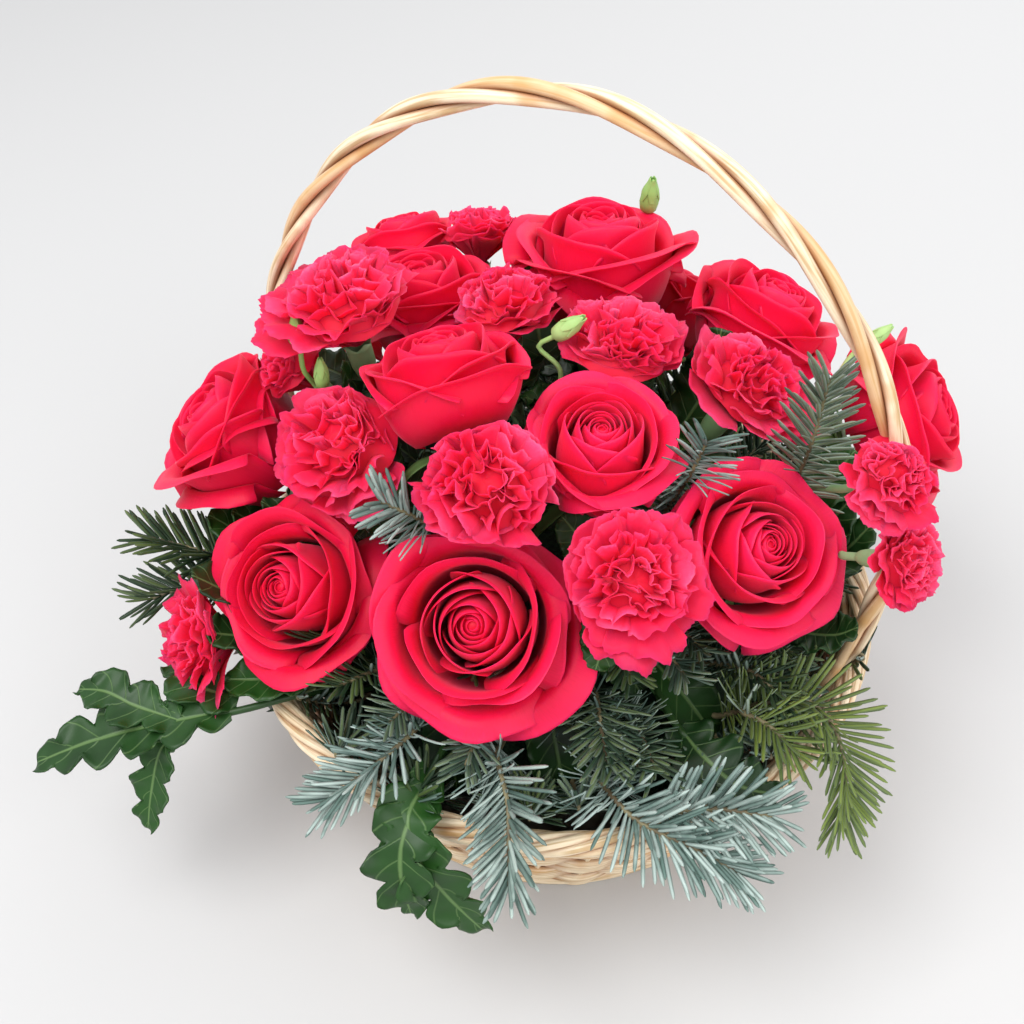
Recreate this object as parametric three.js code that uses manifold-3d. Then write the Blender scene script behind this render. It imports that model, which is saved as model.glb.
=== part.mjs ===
/* Flower basket arrangement: a round willow basket with a twisted-rod handle, filled with red
   roses, red spray carnations, noble-fir sprigs and lobed leaves that stand in floral foam.
   Millimetres, +Z up. The origin is the middle of the basket's underside, +X runs along the
   handle's span and -Y is the front of the arrangement. */
import * as THREE from 'three';
import { mergeVertices } from 'three/addons/utils/BufferGeometryUtils.js';
import Module from 'manifold-3d';

const wasm = await Module();
wasm.setup();

// ---------------------------------------------------------------- driving dimensions
const GAP = 0.3;                       // air left between two separate pieces
const BASKET = { baseRadius: 100, topRadius: 131, height: 84.5, wall: 5, floor: 5,
  stakes: 36, bands: 5, relief: 1.75, turnOver: 2, edge: 1.2 };
const RIM = { radius: 130.5, height: 90.1, rope: 5, groove: 1.1, strands: 3, twists: 12, stations: 36 };
const ROD = { radius: 2.15, air: 0.75, twists: 4.33, start: 0.13, spread: 5.4, steps: 35, sides: 5,
  footSteps: [0, 0.04, 0.07, 0.1], fan: 0.035, settle: 0.015, flatten: 0.04 };
// The handle's centre line: a rounded arch over a foot on each side, given as [x, z].
const ARCH = { halfSpan: 134.5, spring: 150, rise: 166, square: 1.04, points: 21, firstTurn: 8,
  lastTurn: 172, foot: [[105.1, 36], [113, 62], [120.9, 88], [127, 110], [130.5, 136]] };
const LINER = { baseRadius: 88.5, topRadius: 114.2, foot: 5.3, height: 82, wall: 1.2 };
const FOCUS = new THREE.Vector3(0, 0, 60);    // the point in the foam that all stems aim at
const FOAM = { radius: 101, dome: 54, foot: 7, footRadius: 86.5 };
const STEM = { rose: 2.3, carnation: 1.6, depth: 24, proud: 10, slack: 0.5 };
const ROSE = { depth: 1.38, petal: 0.9, throat: 0.12 };       // depth and throat: shares of a radius
const CARNATION = { depth: 0.8, calyx: 17, cup: 5.2, teeth: 7, small: 23 };
const FIR = { needle: 20, shortest: 6, pitch: 6.6, rib: 1, ridge: 1.2, blade: 0.9, forward: 52,
  sweeps: [22, 58], bareSteps: 3, sideBare: 0.3, tip: 9 };
const LEAF = { blade: 1, stalk: 1.4, rows: 8, waist: 0.45, cup: 0.22 };
// How far petals stay from a neighbour's share, from the handle and its spread feet, and above
// the rim; then how far needles stay from a head, a twig, another needle and a leaf.
const CLEAR = { share: 0.75, soft: 3.5, handle: 7.4, feet: 9.8, feetTop: 130, rimRadius: 118, rimTop: 98,
  head: 2.2, twig: 2.6, needle: 2.4, leaf: 6, needleHandle: 7.5 };

// A flower stands in a straight line from FOCUS: bearing and tilt in degrees, reach in mm to
// the middle of its face. faceBearing and faceTilt turn the face, and radius is its open radius.
// over names a flower that it stands above, and ahead keeps its petals in front of the handle.
const ROSES = [
  { name: 'rose_1', bearing: -86, tilt: 42, reach: 143, faceBearing: -74, faceTilt: 41, radius: 38 },
  { name: 'rose_2', bearing: -126, tilt: 53, reach: 155, faceBearing: -97, faceTilt: 43, radius: 33 },
  { name: 'rose_3', bearing: -15, tilt: 39, reach: 153, faceBearing: -34, faceTilt: 38, radius: 33 },
  { name: 'rose_4', bearing: -44, tilt: 13, reach: 153, faceBearing: -60, faceTilt: 13, radius: 31 },
  { name: 'rose_5', bearing: -148, tilt: 16, reach: 174, faceBearing: 140, faceTilt: 25, radius: 30 },
  { name: 'rose_6', bearing: -162, tilt: 52, reach: 187, faceBearing: -161, faceTilt: 46, radius: 35,
    ahead: true },
  { name: 'rose_7', bearing: 104, tilt: 28, reach: 182, faceBearing: 115, faceTilt: 13, radius: 38 },
  { name: 'rose_8', bearing: 155, tilt: 32, reach: 172, faceBearing: 150, faceTilt: 14, radius: 34 },
  { name: 'rose_9', bearing: 58, tilt: 37, reach: 179, faceBearing: 50, faceTilt: 26, radius: 33 },
  { name: 'rose_10', bearing: 38, tilt: 60, reach: 194, faceBearing: 12, faceTilt: 58, radius: 34 },
  { name: 'rose_11', bearing: 143, tilt: 50, reach: 197, faceBearing: 140, faceTilt: 30, radius: 26 },
  { name: 'rose_12', bearing: 89, tilt: 48, reach: 167, faceBearing: 85, faceTilt: 50, radius: 30 },
];
const CARNATIONS = [
  { name: 'carnation_1', bearing: -170, tilt: 28, reach: 185, faceBearing: -150, faceTilt: 10, radius: 28 },
  { name: 'carnation_2', bearing: -138, tilt: 33, reach: 160, faceBearing: -115, faceTilt: 32, radius: 28 },
  { name: 'carnation_3', bearing: -92, tilt: 24, reach: 157, faceBearing: -80, faceTilt: 32, radius: 28 },
  { name: 'carnation_4', bearing: -51, tilt: 35, reach: 155, faceBearing: -62, faceTilt: 39, radius: 23 },
  { name: 'carnation_5', bearing: 59, tilt: 10, reach: 152, faceBearing: 9, faceTilt: 7, radius: 25 },
  { name: 'carnation_6', bearing: 148, tilt: 16, reach: 158, faceBearing: 150, faceTilt: 14, radius: 24 },
  { name: 'carnation_7', bearing: 27, tilt: 27, reach: 157, faceBearing: 10, faceTilt: 25, radius: 24 },
  { name: 'carnation_8', bearing: -5, tilt: 39, reach: 199, faceBearing: -45, faceTilt: 38, radius: 18,
    over: 'rose_3', ahead: true },
  { name: 'carnation_9', bearing: -5, tilt: 50, reach: 182, faceBearing: -20, faceTilt: 58, radius: 15 },
  { name: 'carnation_10', bearing: -135, tilt: 72, reach: 165, faceBearing: -134, faceTilt: 72, radius: 21 },
  { name: 'carnation_11', bearing: -167, tilt: 40, reach: 172, faceBearing: -160, faceTilt: 42, radius: 19 },
  { name: 'carnation_12', bearing: 132, tilt: 42, reach: 179, faceBearing: 120, faceTilt: 30, radius: 20 },
];
// Each spray stem of carnations: where it stands in the foam, and which heads it carries.
const SPRAYS = [
  { name: 'carnation_stem_1', bearing: 52, tilt: 55, heads: ['carnation_7', 'carnation_8', 'carnation_9'] },
  { name: 'carnation_stem_2', bearing: -66, tilt: 31, heads: ['carnation_3', 'carnation_4'] },
  { name: 'carnation_stem_3', bearing: -154, tilt: 42,
    heads: ['carnation_1', 'carnation_2', 'carnation_10', 'carnation_11'] },
  { name: 'carnation_stem_4', bearing: 138, tilt: 21, heads: ['carnation_5', 'carnation_6', 'carnation_12'] },
];
// Each fir spray: its hole in the foam, then the route of its main twig and of its side twigs.
// up is the side that the needles sweep towards.
const FIRS = [
  { name: 'fir_1', bearing: -102, tilt: 70, up: [-0.3, -0.5, 1], bare: 0.3,
    route: [[-10, -112, 114], [-17, -132, 113], [-27, -147, 106]], twigs: [] },
  { name: 'fir_2', bearing: -80, tilt: 70, up: [0.1, -1, 0.7], bare: 0.3,
    route: [[22, -108, 113], [34, -124, 113], [41, -138, 107], [45, -146, 98]], twigs: [] },
  { name: 'fir_3', bearing: -66, tilt: 64, up: [0.2, -0.4, 1], bare: 0.25,
    route: [[43, -68, 117], [53, -84, 121], [61, -98, 120]], twigs: [] },
  { name: 'fir_4', bearing: -56, tilt: 73, up: [0.3, -0.7, 1], bare: 0.3,
    route: [[60, -98, 106], [78, -109, 109], [100, -107, 102], [117, -103, 91]],
    twigs: [[[76, -107, 107], [100, -93, 108], [121, -85, 106]]] },
  { name: 'fir_5', bearing: -26, tilt: 72, up: [0.6, -0.2, 1], bare: 0.3,
    route: [[104, -40, 108], [118, -36, 113], [132, -42, 109], [141, -55, 100], [144, -66, 89]],
    twigs: [[[98, -41, 102], [98, -50, 111], [109, -54, 114], [121, -59, 111]]] },
  { name: 'fir_6', bearing: 3, tilt: 47, up: [0.2, -1, 0.3], bare: 0.35,
    route: [[74, 6, 130], [86, 10, 160], [92, 13, 190], [93, 18, 222]], twigs: [] },
  { name: 'fir_7', bearing: -110, tilt: 26, up: [0.3, -0.6, 0.7], bare: 0.55,
    route: [[-20, -48, 130], [-24, -60, 158], [-23, -72, 183], [-34, -82, 198]], twigs: [] },
  { name: 'fir_8', bearing: -12, tilt: 22, up: [0.3, -0.6, 0.7], bare: 0.55,
    route: [[38, -4, 130], [47, -8, 160], [56, -15, 188], [61, -16, 208]], twigs: [] },
  { name: 'fir_9', bearing: -154, tilt: 74, up: [-0.3, -0.3, 1], bare: 0.35,
    route: [[-112, -62, 108], [-134, -74, 118], [-158, -84, 124]],
    twigs: [[[-108, -58, 106], [-132, -56, 108], [-156, -60, 110]]] },
  { name: 'fir_10', bearing: 118, tilt: 70, up: [-0.3, 0.6, 1], bare: 0.3,
    route: [[-54, 104, 106], [-68, 130, 108], [-82, 154, 104]],
    twigs: [[[-50, 98, 104], [-34, 128, 106], [-26, 154, 102]]] },
];
// Each leafy stem: its hole in the foam, its stalk, and the midribs of its lobed blades.
const LEAVES = [
  { name: 'leaf_left', bearing: -120, tilt: 76, up: [0, -0.2, 1],
    stalk: [[-62, -106, 100], [-78, -122, 101], [-92, -132, 99]],
    blades: [{ rib: [[-88, -130, 100], [-110, -146, 99], [-130, -158, 93], [-148, -170, 84]], half: 17 },
      { rib: [[-90, -133, 98], [-99, -146, 92], [-104, -157, 78], [-104, -166, 60]], half: 12 }] },
  { name: 'leaf_front', bearing: -91, tilt: 76, up: [0.2, -0.9, 0.5],
    stalk: [[0, -106, 103], [1, -122, 104]],
    blades: [{ rib: [[1, -119, 104], [2, -140, 104], [11, -149, 94], [23, -150, 78], [35, -148, 60]],
      half: 17 }] },
  { name: 'leaf_inner', bearing: -38, tilt: 58, up: [0.2, -0.5, 1],
    stalk: [[74, -62, 108], [82, -68, 108]],
    blades: [{ rib: [[78, -65, 108], [94, -76, 110], [106, -78, 106], [120, -74, 103]], half: 15 }] },
];
const COLOUR = { willow: '#dcbf8e', liner: '#2c3a2a', foam: '#33502c', rose: '#c8102e',
  carnation: '#dd2440', sepal: '#6f8f3c', stem: '#5b7d3a', fir: '#7f9c8c', leaf: '#1f5230' };

// ---------------------------------------------------------------- small helpers
const V = (x, y, z) => new THREE.Vector3(x, y, z);
const radians = THREE.MathUtils.degToRad;
const mix = THREE.MathUtils.lerp;
const round = (radius, turn, z) => V(radius * Math.cos(turn), radius * Math.sin(turn), z);
const polar = (bearing, tilt) => round(Math.sin(radians(tilt)), radians(bearing), Math.cos(radians(tilt)));
const ring = (sides, place) => Array.from({ length: sides }, (_, j) => place((j / sides) * 2 * Math.PI, j));
const middle = (points) => points.reduce((sum, p) => sum.add(p), V(0, 0, 0)).divideScalar(points.length);

function seeded(seed) {                  // the same random numbers on every run
  let state = seed * 7919 + 17;
  return () => {
    state = (state * 1103515245 + 12345) % 2147483648;
    return state / 2147483648;
  };
}

function toSolid(geometry) {
  geometry.deleteAttribute('normal');
  geometry.deleteAttribute('uv');
  const merged = mergeVertices(geometry, 1e-4);
  return new wasm.Manifold(new wasm.Mesh({ numProp: 3,
    vertProperties: new Float32Array(merged.attributes.position.array),
    triVerts: new Uint32Array(merged.index.array) }));
}

function toGeometry(solid) {
  const mesh = solid.getMesh();
  const geometry = new THREE.BufferGeometry();
  geometry.setAttribute('position', new THREE.BufferAttribute(new Float32Array(mesh.vertProperties), 3));
  geometry.setIndex(new THREE.BufferAttribute(new Uint32Array(mesh.triVerts), 1));
  geometry.computeVertexNormals();
  return geometry;
}

function indexed(points, triangles) {    // a geometry from corner points and corner numbers
  const geometry = new THREE.BufferGeometry();
  geometry.setAttribute('position', new THREE.Float32BufferAttribute(points.flatMap((p) => p.toArray()), 3));
  geometry.setIndex(triangles.flat());
  return geometry;
}

// Joins solids into one body. Scraps and sealed hollows come out as extra bodies: they go.
function fuse(solids) {
  const whole = solids.reduce((sum, solid) => sum.add(solid));
  return whole.decompose().reduce((best, body) => (body.volume() > best.volume() ? body : best));
}

// Thickens a sheet of triangles both ways, so that both faces are split alike, and closes its rim.
function plate(sheet, triangles, thickness) {
  const normals = sheet.map(() => V(0, 0, 0));
  const open = new Map();
  for (const [a, b, c] of triangles) {
    const face = sheet[b].clone().sub(sheet[a]).cross(sheet[c].clone().sub(sheet[a]));
    for (const k of [a, b, c]) normals[k].add(face);
    for (const [p, q] of [[a, b], [b, c], [c, a]]) {
      if (!open.delete(`${q} ${p}`)) open.set(`${p} ${q}`, [p, q]);
    }
  }
  const shifted = (side) => sheet.map((p, k) =>
    p.clone().addScaledVector(normals[k].clone().normalize(), side * thickness));
  const under = sheet.length;
  const faces = triangles.flatMap(([a, b, c]) => [[a, b, c], [c + under, b + under, a + under]]);
  for (const [p, q] of open.values()) faces.push([q, p, p + under], [q, p + under, q + under]);
  return toSolid(indexed([...shifted(0.5), ...shifted(-0.5)], faces));
}

function blade(grid, thickness) {        // a plate from rows of points
  const cols = grid[0].length;
  const triangles = [];
  for (let i = 0; i < grid.length - 1; i += 1) {
    for (let j = 0; j < cols - 1; j += 1) {
      const [a, b, c, d] = [i * cols + j, i * cols + j + 1, (i + 1) * cols + j + 1, (i + 1) * cols + j];
      triangles.push([a, b, c], [a, c, d]);
    }
  }
  return plate(grid.flat(), triangles, thickness);
}

// Skins a list of equal rings: joined round, or capped with a middle point at each end.
function closedRings(rings, closed, first, final) {
  const sides = rings[0].length;
  const triangles = [];
  const last = closed ? rings.length : rings.length - 1;
  for (let i = 0; i < last; i += 1) {
    for (let j = 0; j < sides; j += 1) {
      const [a, b] = [i * sides + j, i * sides + ((j + 1) % sides)];
      const next = ((i + 1) % rings.length) * sides;
      const [c, d] = [next + ((j + 1) % sides), next + j];
      triangles.push([a, b, c], [a, c, d]);
    }
  }
  const points = rings.flat();
  if (!closed) {
    points.push(first, final);
    const top = (rings.length - 1) * sides;
    for (let j = 0; j < sides; j += 1) {
      const k = (j + 1) % sides;
      triangles.push([k, j, points.length - 2], [top + j, top + k, points.length - 1]);
    }
  }
  return toSolid(indexed(points, triangles));
}

function ngon(radius, sides) {
  return new THREE.Shape(ring(sides, (turn) => round(radius, turn, 0)));
}

// A five-sided stalk through [point, radius] stops, closed by a point at its upper end.
function stalk(stops, tip) {
  let side = V(1, 0.3, 0.2);
  const rings = stops.map(([point, radius], k) => {
    const ahead = (stops[k + 1]?.[0] ?? tip).clone().sub((stops[k - 1] ?? stops[k])[0]).normalize();
    side = side.clone().addScaledVector(ahead, -side.dot(ahead)).normalize();
    const other = ahead.clone().cross(side);
    return ring(5, (turn) => point.clone().addScaledVector(side, radius * Math.cos(turn))
      .addScaledVector(other, radius * Math.sin(turn)));
  });
  return closedRings(rings, false, middle(rings[0]), tip);
}

function tube(points, radius, sides, steps) {
  const extrudePath = new THREE.CatmullRomCurve3(points);
  return toSolid(new THREE.ExtrudeGeometry(ngon(radius, sides), { steps, extrudePath, bevelEnabled: false }));
}

// ---------------------------------------------------------------- where things stand
const foamReach = (tilt) => 1 / Math.hypot(Math.sin(radians(tilt)) / FOAM.radius,
  Math.cos(radians(tilt)) / FOAM.dome);
const holes = [];                        // every stem hole to be cut in the foam

// The straight end of a stem, from the bottom of its hole to just above the foam.
function footing(bearing, tilt, radius) {
  const way = polar(bearing, tilt);
  const surface = foamReach(tilt);
  const along = (d) => FOCUS.clone().addScaledVector(way, surface + d);
  const drill = (radius + STEM.slack) / Math.cos(Math.PI / 4);       // a four-sided drill
  holes.push({ from: along(-STEM.depth - 1), to: along(STEM.proud + 2), radius: drill });
  return [along(-STEM.depth), along(-STEM.depth / 2), along(0), along(STEM.proud)];
}

function archCurve() {                   // the handle's centre line, foot to foot
  const top = Array.from({ length: ARCH.points }, (_, k) => {
    const turn = radians(mix(ARCH.firstTurn, ARCH.lastTurn, k / (ARCH.points - 1)));
    const [c, s] = [Math.cos(turn), Math.sin(turn)];
    const z = ARCH.rise * s ** ARCH.square;
    const x = ARCH.halfSpan * Math.sign(c) * Math.abs(c) ** ARCH.square;
    return V(x, 0, ARCH.spring + z);
  });
  const right = ARCH.foot.map(([x, z]) => V(x, 0, z));
  const left = ARCH.foot.map(([x, z]) => V(-x, 0, z)).reverse();
  return new THREE.CatmullRomCurve3([...right, ...top, ...left]);
}
const ARCH_CURVE = archCurve();
const ARCH_POINTS = ARCH_CURVE.getSpacedPoints(120);

const flowers = [...ROSES, ...CARNATIONS];
for (const flower of flowers) {
  flower.way = polar(flower.bearing, flower.tilt);
  flower.axis = polar(flower.faceBearing, flower.faceTilt);
  flower.face = FOCUS.clone().addScaledVector(flower.way, flower.reach);
}
// Neighbours share the space between them: a wall through FOCUS, nearer the smaller flower. A
// flower that stands over another has a wall between the two faces, square to their line.
for (const flower of flowers) {
  flower.walls = flower.ahead ? [{ from: V(0, -CLEAR.handle, 0), out: V(0, 1, 0) }] : [];
  for (const other of flowers) {
    const apart = flower.way.angleTo(other.way);
    if (other === flower || apart > radians(75)) continue;
    const share = flower.radius / (flower.radius + other.radius);
    const turn = flower.way.clone().cross(other.way).normalize();
    if (flower.over === other.name || other.over === flower.name) {
      const out = other.face.clone().sub(flower.face).normalize();
      flower.walls.push({ from: flower.face.clone().lerp(other.face, share), out });
    } else {
      const out = flower.way.clone().applyAxisAngle(turn, apart * share + Math.PI / 2);
      flower.walls.push({ from: FOCUS, out });
    }
  }
}

// Bends a petal point back inside its flower's own share and clear of the handle and rim. Near
// a wall the point is eased back softly first, so that a petal curls there and isn't cut flat.
function bendClear(point, flower) {
  for (const { from, out } of flower.walls) {
    const depth = point.clone().sub(from).dot(out) + CLEAR.share;
    if (depth > -CLEAR.soft) {
      point.addScaledVector(out, -CLEAR.soft * Math.exp(-(depth + CLEAR.soft) / CLEAR.soft) - depth);
    }
  }
  for (let round = 0; round < 4; round += 1) {
    const nearest = ARCH_POINTS.reduce((a, b) => (a.distanceTo(point) < b.distanceTo(point) ? a : b));
    const away = point.clone().sub(nearest);
    const reach = nearest.z < CLEAR.feetTop ? CLEAR.feet : CLEAR.handle;
    if (away.length() < reach) point.copy(nearest).addScaledVector(away.normalize(), reach);
    for (const { from, out } of flower.walls) {
      const depth = point.clone().sub(from).dot(out) + CLEAR.share;
      if (depth > 0) point.addScaledVector(out, -depth);
    }
  }
  if (Math.hypot(point.x, point.y) > CLEAR.rimRadius) point.z = Math.max(point.z, CLEAR.rimTop);
  return point;
}

function headFrame(flower, spin) {       // turns a head's own x, y, z into the arrangement
  const side = V(0, 0, 1).cross(flower.axis).normalize();
  const other = flower.axis.clone().cross(side);
  const turn = new THREE.Matrix4().makeBasis(side, other, flower.axis).setPosition(flower.face);
  return turn.multiply(new THREE.Matrix4().makeRotationZ(radians(spin)));
}

// ---------------------------------------------------------------- basket
// Outside: bands of weavers pass in front of one stake and behind the next. Inside: plain.
function basketWeave() {
  const wallAt = (z) => mix(BASKET.baseRadius, BASKET.topRadius, z / BASKET.height);
  const rings = [];
  const addRing = (z, inset) => rings.push(ring(BASKET.stakes, (turn, j) =>
    round(wallAt(z) - inset(j), turn, z)));
  const step = BASKET.height / BASKET.bands;
  addRing(0, () => BASKET.edge);
  for (let band = 0; band < BASKET.bands; band += 1) {
    const inset = (j) => ((j + band) % 2 === 0 ? 0 : 2 * BASKET.relief);
    addRing(band * step + BASKET.turnOver, inset);
    addRing((band + 1) * step - BASKET.turnOver, inset);
  }
  addRing(BASKET.height, () => BASKET.edge);
  for (const z of [BASKET.height, BASKET.floor]) addRing(z, () => BASKET.wall);
  return closedRings(rings, false, V(0, 0, 0), V(0, 0, BASKET.floor));
}

// The border: rods rolled together along the rim, so their strands slant round it.
function basketRim() {
  const sides = RIM.strands * 2;
  const rings = Array.from({ length: RIM.stations }, (_, i) => {
    const turn = (-i / RIM.stations) * 2 * Math.PI;
    return ring(sides, (angle, j) => {
      const r = RIM.rope - (j % 2) * RIM.groove;
      const a = angle + (turn * RIM.twists) / RIM.strands;
      return round(RIM.radius + r * Math.cos(a), turn, RIM.height + r * Math.sin(a));
    });
  });
  return closedRings(rings, true);
}

// One rod of the handle. The three wind round the arch and lie side by side at its feet. All
// three have their rings at the same stations, so that they stay clear of each other.
function handleRod(number) {
  const wind = (2 * ROD.radius + ROD.air) / Math.sqrt(3);
  const stations = [...ROD.footSteps, ...Array.from({ length: ROD.steps + 1 }, (_, k) =>
    mix(ROD.start, 1 - ROD.start, k / ROD.steps)), ...ROD.footSteps.map((s) => 1 - s).reverse()];
  const rings = stations.map((s) => {
    const centre = ARCH_CURVE.getPointAt(s);
    const across = V(0, 1, 0);
    const outward = across.clone().cross(ARCH_CURVE.getTangentAt(s)).normalize();
    const foot = Math.min(s, 1 - s);
    const turns = ROD.twists * THREE.MathUtils.clamp((s - ROD.start) / (1 - 2 * ROD.start), 0, 1);
    const angle = 2 * Math.PI * (turns + number / 3);
    const apart = THREE.MathUtils.smoothstep(ROD.start - foot, 0, ROD.fan);
    const flat = THREE.MathUtils.smoothstep(ROD.start - ROD.settle - foot, 0, ROD.flatten);
    centre.addScaledVector(outward, wind * Math.cos(angle) * (1 - flat));
    centre.addScaledVector(across, mix(wind * Math.sin(angle),
      Math.round(Math.sin(angle) * 1.1) * ROD.spread, apart));
    return ring(ROD.sides, (turn) => centre.clone().addScaledVector(across, ROD.radius * Math.cos(turn))
      .addScaledVector(outward, -ROD.radius * Math.sin(turn)));
  });
  return closedRings(rings, false, middle(rings[0]), middle(rings.at(-1)));
}

function lathe(profile, sides) {
  return toSolid(new THREE.LatheGeometry(profile.map(([r, z]) => new THREE.Vector2(r, z)), sides)
    .rotateX(Math.PI / 2));
}

function liner() {
  const { baseRadius, topRadius, foot, height, wall } = LINER;
  return lathe([[0, foot], [baseRadius, foot], [topRadius, height], [topRadius - wall, height],
    [baseRadius - wall, foot + wall], [0, foot + wall]], 20);
}

function floralFoam() {
  const dome = [0, 32, 62, 90].map((turn) => [FOAM.radius * Math.cos(radians(turn)),
    FOCUS.z + FOAM.dome * Math.sin(radians(turn))]);
  dome[3][0] = 0;
  let foam = lathe([[0, FOAM.foot], [FOAM.footRadius, FOAM.foot], ...dome], 20);
  for (const { from, to, radius } of holes) {
    const length = from.distanceTo(to);
    const drill = new THREE.CylinderGeometry(radius, radius, length, 4).translate(0, length / 2, 0);
    const way = to.clone().sub(from).normalize();
    drill.applyQuaternion(new THREE.Quaternion().setFromUnitVectors(V(0, 1, 0), way));
    foam = foam.subtract(toSolid(drill.translate(...from.toArray())));
  }
  return foam;
}

// ---------------------------------------------------------------- roses
// Rings of petals from the heart outwards: how many, how far out the lip stands, its height
// and roll as shares of the open radius, and half the angle that one petal spans.
const ROSE_RINGS = [
  { petals: 3, out: 0.6, lip: 0.04, roll: 0.08, half: 58, claw: 4 },
  { petals: 5, out: 0.92, lip: -0.1, roll: 0.34, half: 37, claw: 1.2 },
];

// A petal is a narrow claw, its widest place and its lip: corners as [across, up] shares.
const PETAL = {
  corners: [[-0.3, 0], [0.3, 0], [-0.8, 0.48], [0, 0.48], [0.8, 0.48], [-1, 1], [0, 1], [1, 1]],
  triangles: [[0, 1, 3], [0, 3, 2], [1, 4, 3], [2, 3, 6], [2, 6, 5], [3, 4, 7], [3, 7, 6]],
};

function rosePetal(flower, kind, turn, place) {
  const depth = ROSE.depth * flower.radius;
  const sheet = PETAL.corners.map(([u, v]) => {
    const angle = turn + radians(kind.half) * u;
    const cup = flower.radius * (mix(ROSE.throat, kind.out, v ** 0.45) + kind.roll * v ** 5 * 0.55);
    const radius = cup * (1 + 0.07 * u * v);
    const droop = flower.radius * (kind.roll * v ** 5 * 0.5 + 0.2 * u * u * v);
    const height = -depth + kind.claw + (depth - kind.claw + flower.radius * kind.lip) * v - droop;
    return bendClear(round(radius, angle, height).applyMatrix4(place), flower);
  });
  return plate(sheet, PETAL.triangles, ROSE.petal);
}

function roseHead(flower, number) {
  const place = headFrame(flower, number * 47);
  const depth = ROSE.depth * flower.radius;
  const heart = [[0, -1], [0.17, -1], [0.34, -0.35], [0.2, 0.06], [0, 0]];
  const profile = heart.map(([r, z]) => new THREE.Vector2(r * flower.radius, z * depth));
  const bud = new THREE.LatheGeometry(profile, 7).rotateX(Math.PI / 2);
  const solids = [toSolid(bud.applyMatrix4(place))];
  ROSE_RINGS.forEach((kind, ringNumber) => {
    for (let k = 0; k < kind.petals; k += 1) {
      solids.push(rosePetal(flower, kind, ((k + ringNumber * 0.3) / kind.petals) * 2 * Math.PI, place));
    }
  });
  return fuse(solids);
}

// The stem that stands in the foam, and the green hip that widens under the petals.
function roseStem(flower) {
  const head = ROSE.depth * flower.radius + GAP;
  const below = (d) => flower.face.clone().addScaledVector(flower.axis, -head - d);
  const foot = footing(flower.bearing, flower.tilt, STEM.rose);
  const bend = new THREE.CatmullRomCurve3([foot[2], foot[3], below(20), below(9)]);
  return stalk([[foot[0], STEM.rose], [foot[3], STEM.rose], [bend.getPoint(0.55), STEM.rose],
    [below(9), STEM.rose], [below(5.5), 5.4], [below(3.4), 11]], below(0));
}

// ---------------------------------------------------------------- carnations
// A head is frills of toothed petals over one another. Each row is a share of the open radius:
// how far out, how high, and whether it is a toothed edge or the valley behind one.
const FRILLS = [
  { out: 0.19, up: -0.8 }, { out: 0.46, up: -0.4 }, { out: 1, up: -0.14, edge: true },
  { out: 0.56, up: -0.12 }, { out: 0.88, up: 0.16, edge: true }, { out: 0.38, up: 0.1 },
  { out: 0.6, up: 0.36, edge: true }, { out: 0.14, up: 0.16 }, { out: 0.26, up: 0.42, edge: true },
];

function carnationHead(flower, number) {
  const random = seeded(number + 3);
  const place = headFrame(flower, number * 61);
  const teeth = CARNATION.teeth - (flower.radius > CARNATION.small ? 0 : 1);
  const rings = FRILLS.map(({ out, up, edge }, row) => ring(2 * teeth, (turn, j) => {
    const tooth = edge && (j + (row >> 1)) % 2 === 1;
    const reach = flower.radius * out * (tooth ? 0.84 : 1) * (edge ? mix(0.94, 1.06, random()) : 1);
    const ruffle = edge ? flower.radius * (tooth ? -0.07 : 0.07) * mix(0.6, 1.4, random()) : 0;
    return bendClear(round(reach, turn, flower.radius * up + ruffle).applyMatrix4(place), flower);
  }));
  const onAxis = (up) => V(0, 0, flower.radius * up).applyMatrix4(place);
  return closedRings(rings, false, onAxis(-CARNATION.depth), onAxis(0.28));
}

// One branching stem with the long cup-shaped calyx of each head that it carries.
function sprayStem(spray) {
  const foot = footing(spray.bearing, spray.tilt, STEM.carnation);
  const fork = foot[3].clone().addScaledVector(polar(spray.bearing, spray.tilt), 8);
  const solids = [stalk([[foot[0], STEM.carnation], [foot[3], STEM.carnation]], fork)];
  for (const name of spray.heads) {
    const flower = CARNATIONS.find((one) => one.name === name);
    const scale = Math.min(1, flower.radius / 22);
    const head = CARNATION.depth * flower.radius + GAP;
    const below = (d) => flower.face.clone().addScaledVector(flower.axis, -head - d * scale);
    const bend = new THREE.CatmullRomCurve3([foot[3], fork, below(28), below(CARNATION.calyx)]);
    const thick = [bend.getPoint(0.4), bend.getPoint(0.7), below(CARNATION.calyx)];
    solids.push(stalk([[foot[3], 1.2], ...thick.map((point) => [point, STEM.carnation]),
      [below(12), 4.6 * scale], [below(1.2), CARNATION.cup * scale]], below(0)));
  }
  return fuse(solids);
}

// ---------------------------------------------------------------- foliage
// Needles keep clear of every head, stem and needle that is already there.
const taken = [];                        // points to keep clear of, each with its own distance
const headShapes = [];                   // the profile of every head round its own axis

function reserve(points, radius, owner) {
  for (const point of points) taken.push({ point, radius, owner });
}

// Where a point stands beside a flower: its slot along the axis (2 mm each) and how far out.
function beside(flower, point) {
  const from = point.clone().sub(flower.face);
  const height = from.dot(flower.axis);
  return { slot: Math.round(height / 2), out: Math.sqrt(Math.max(0, from.lengthSq() - height * height)) };
}

function blocked(point, own) {
  for (const { flower, profile } of headShapes) {
    const { slot, out } = beside(flower, point);
    if (out < profile.get(slot) + CLEAR.head) return true;
  }
  return taken.some((one) => one.owner !== own && one.point.distanceTo(point) < one.radius);
}

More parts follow.
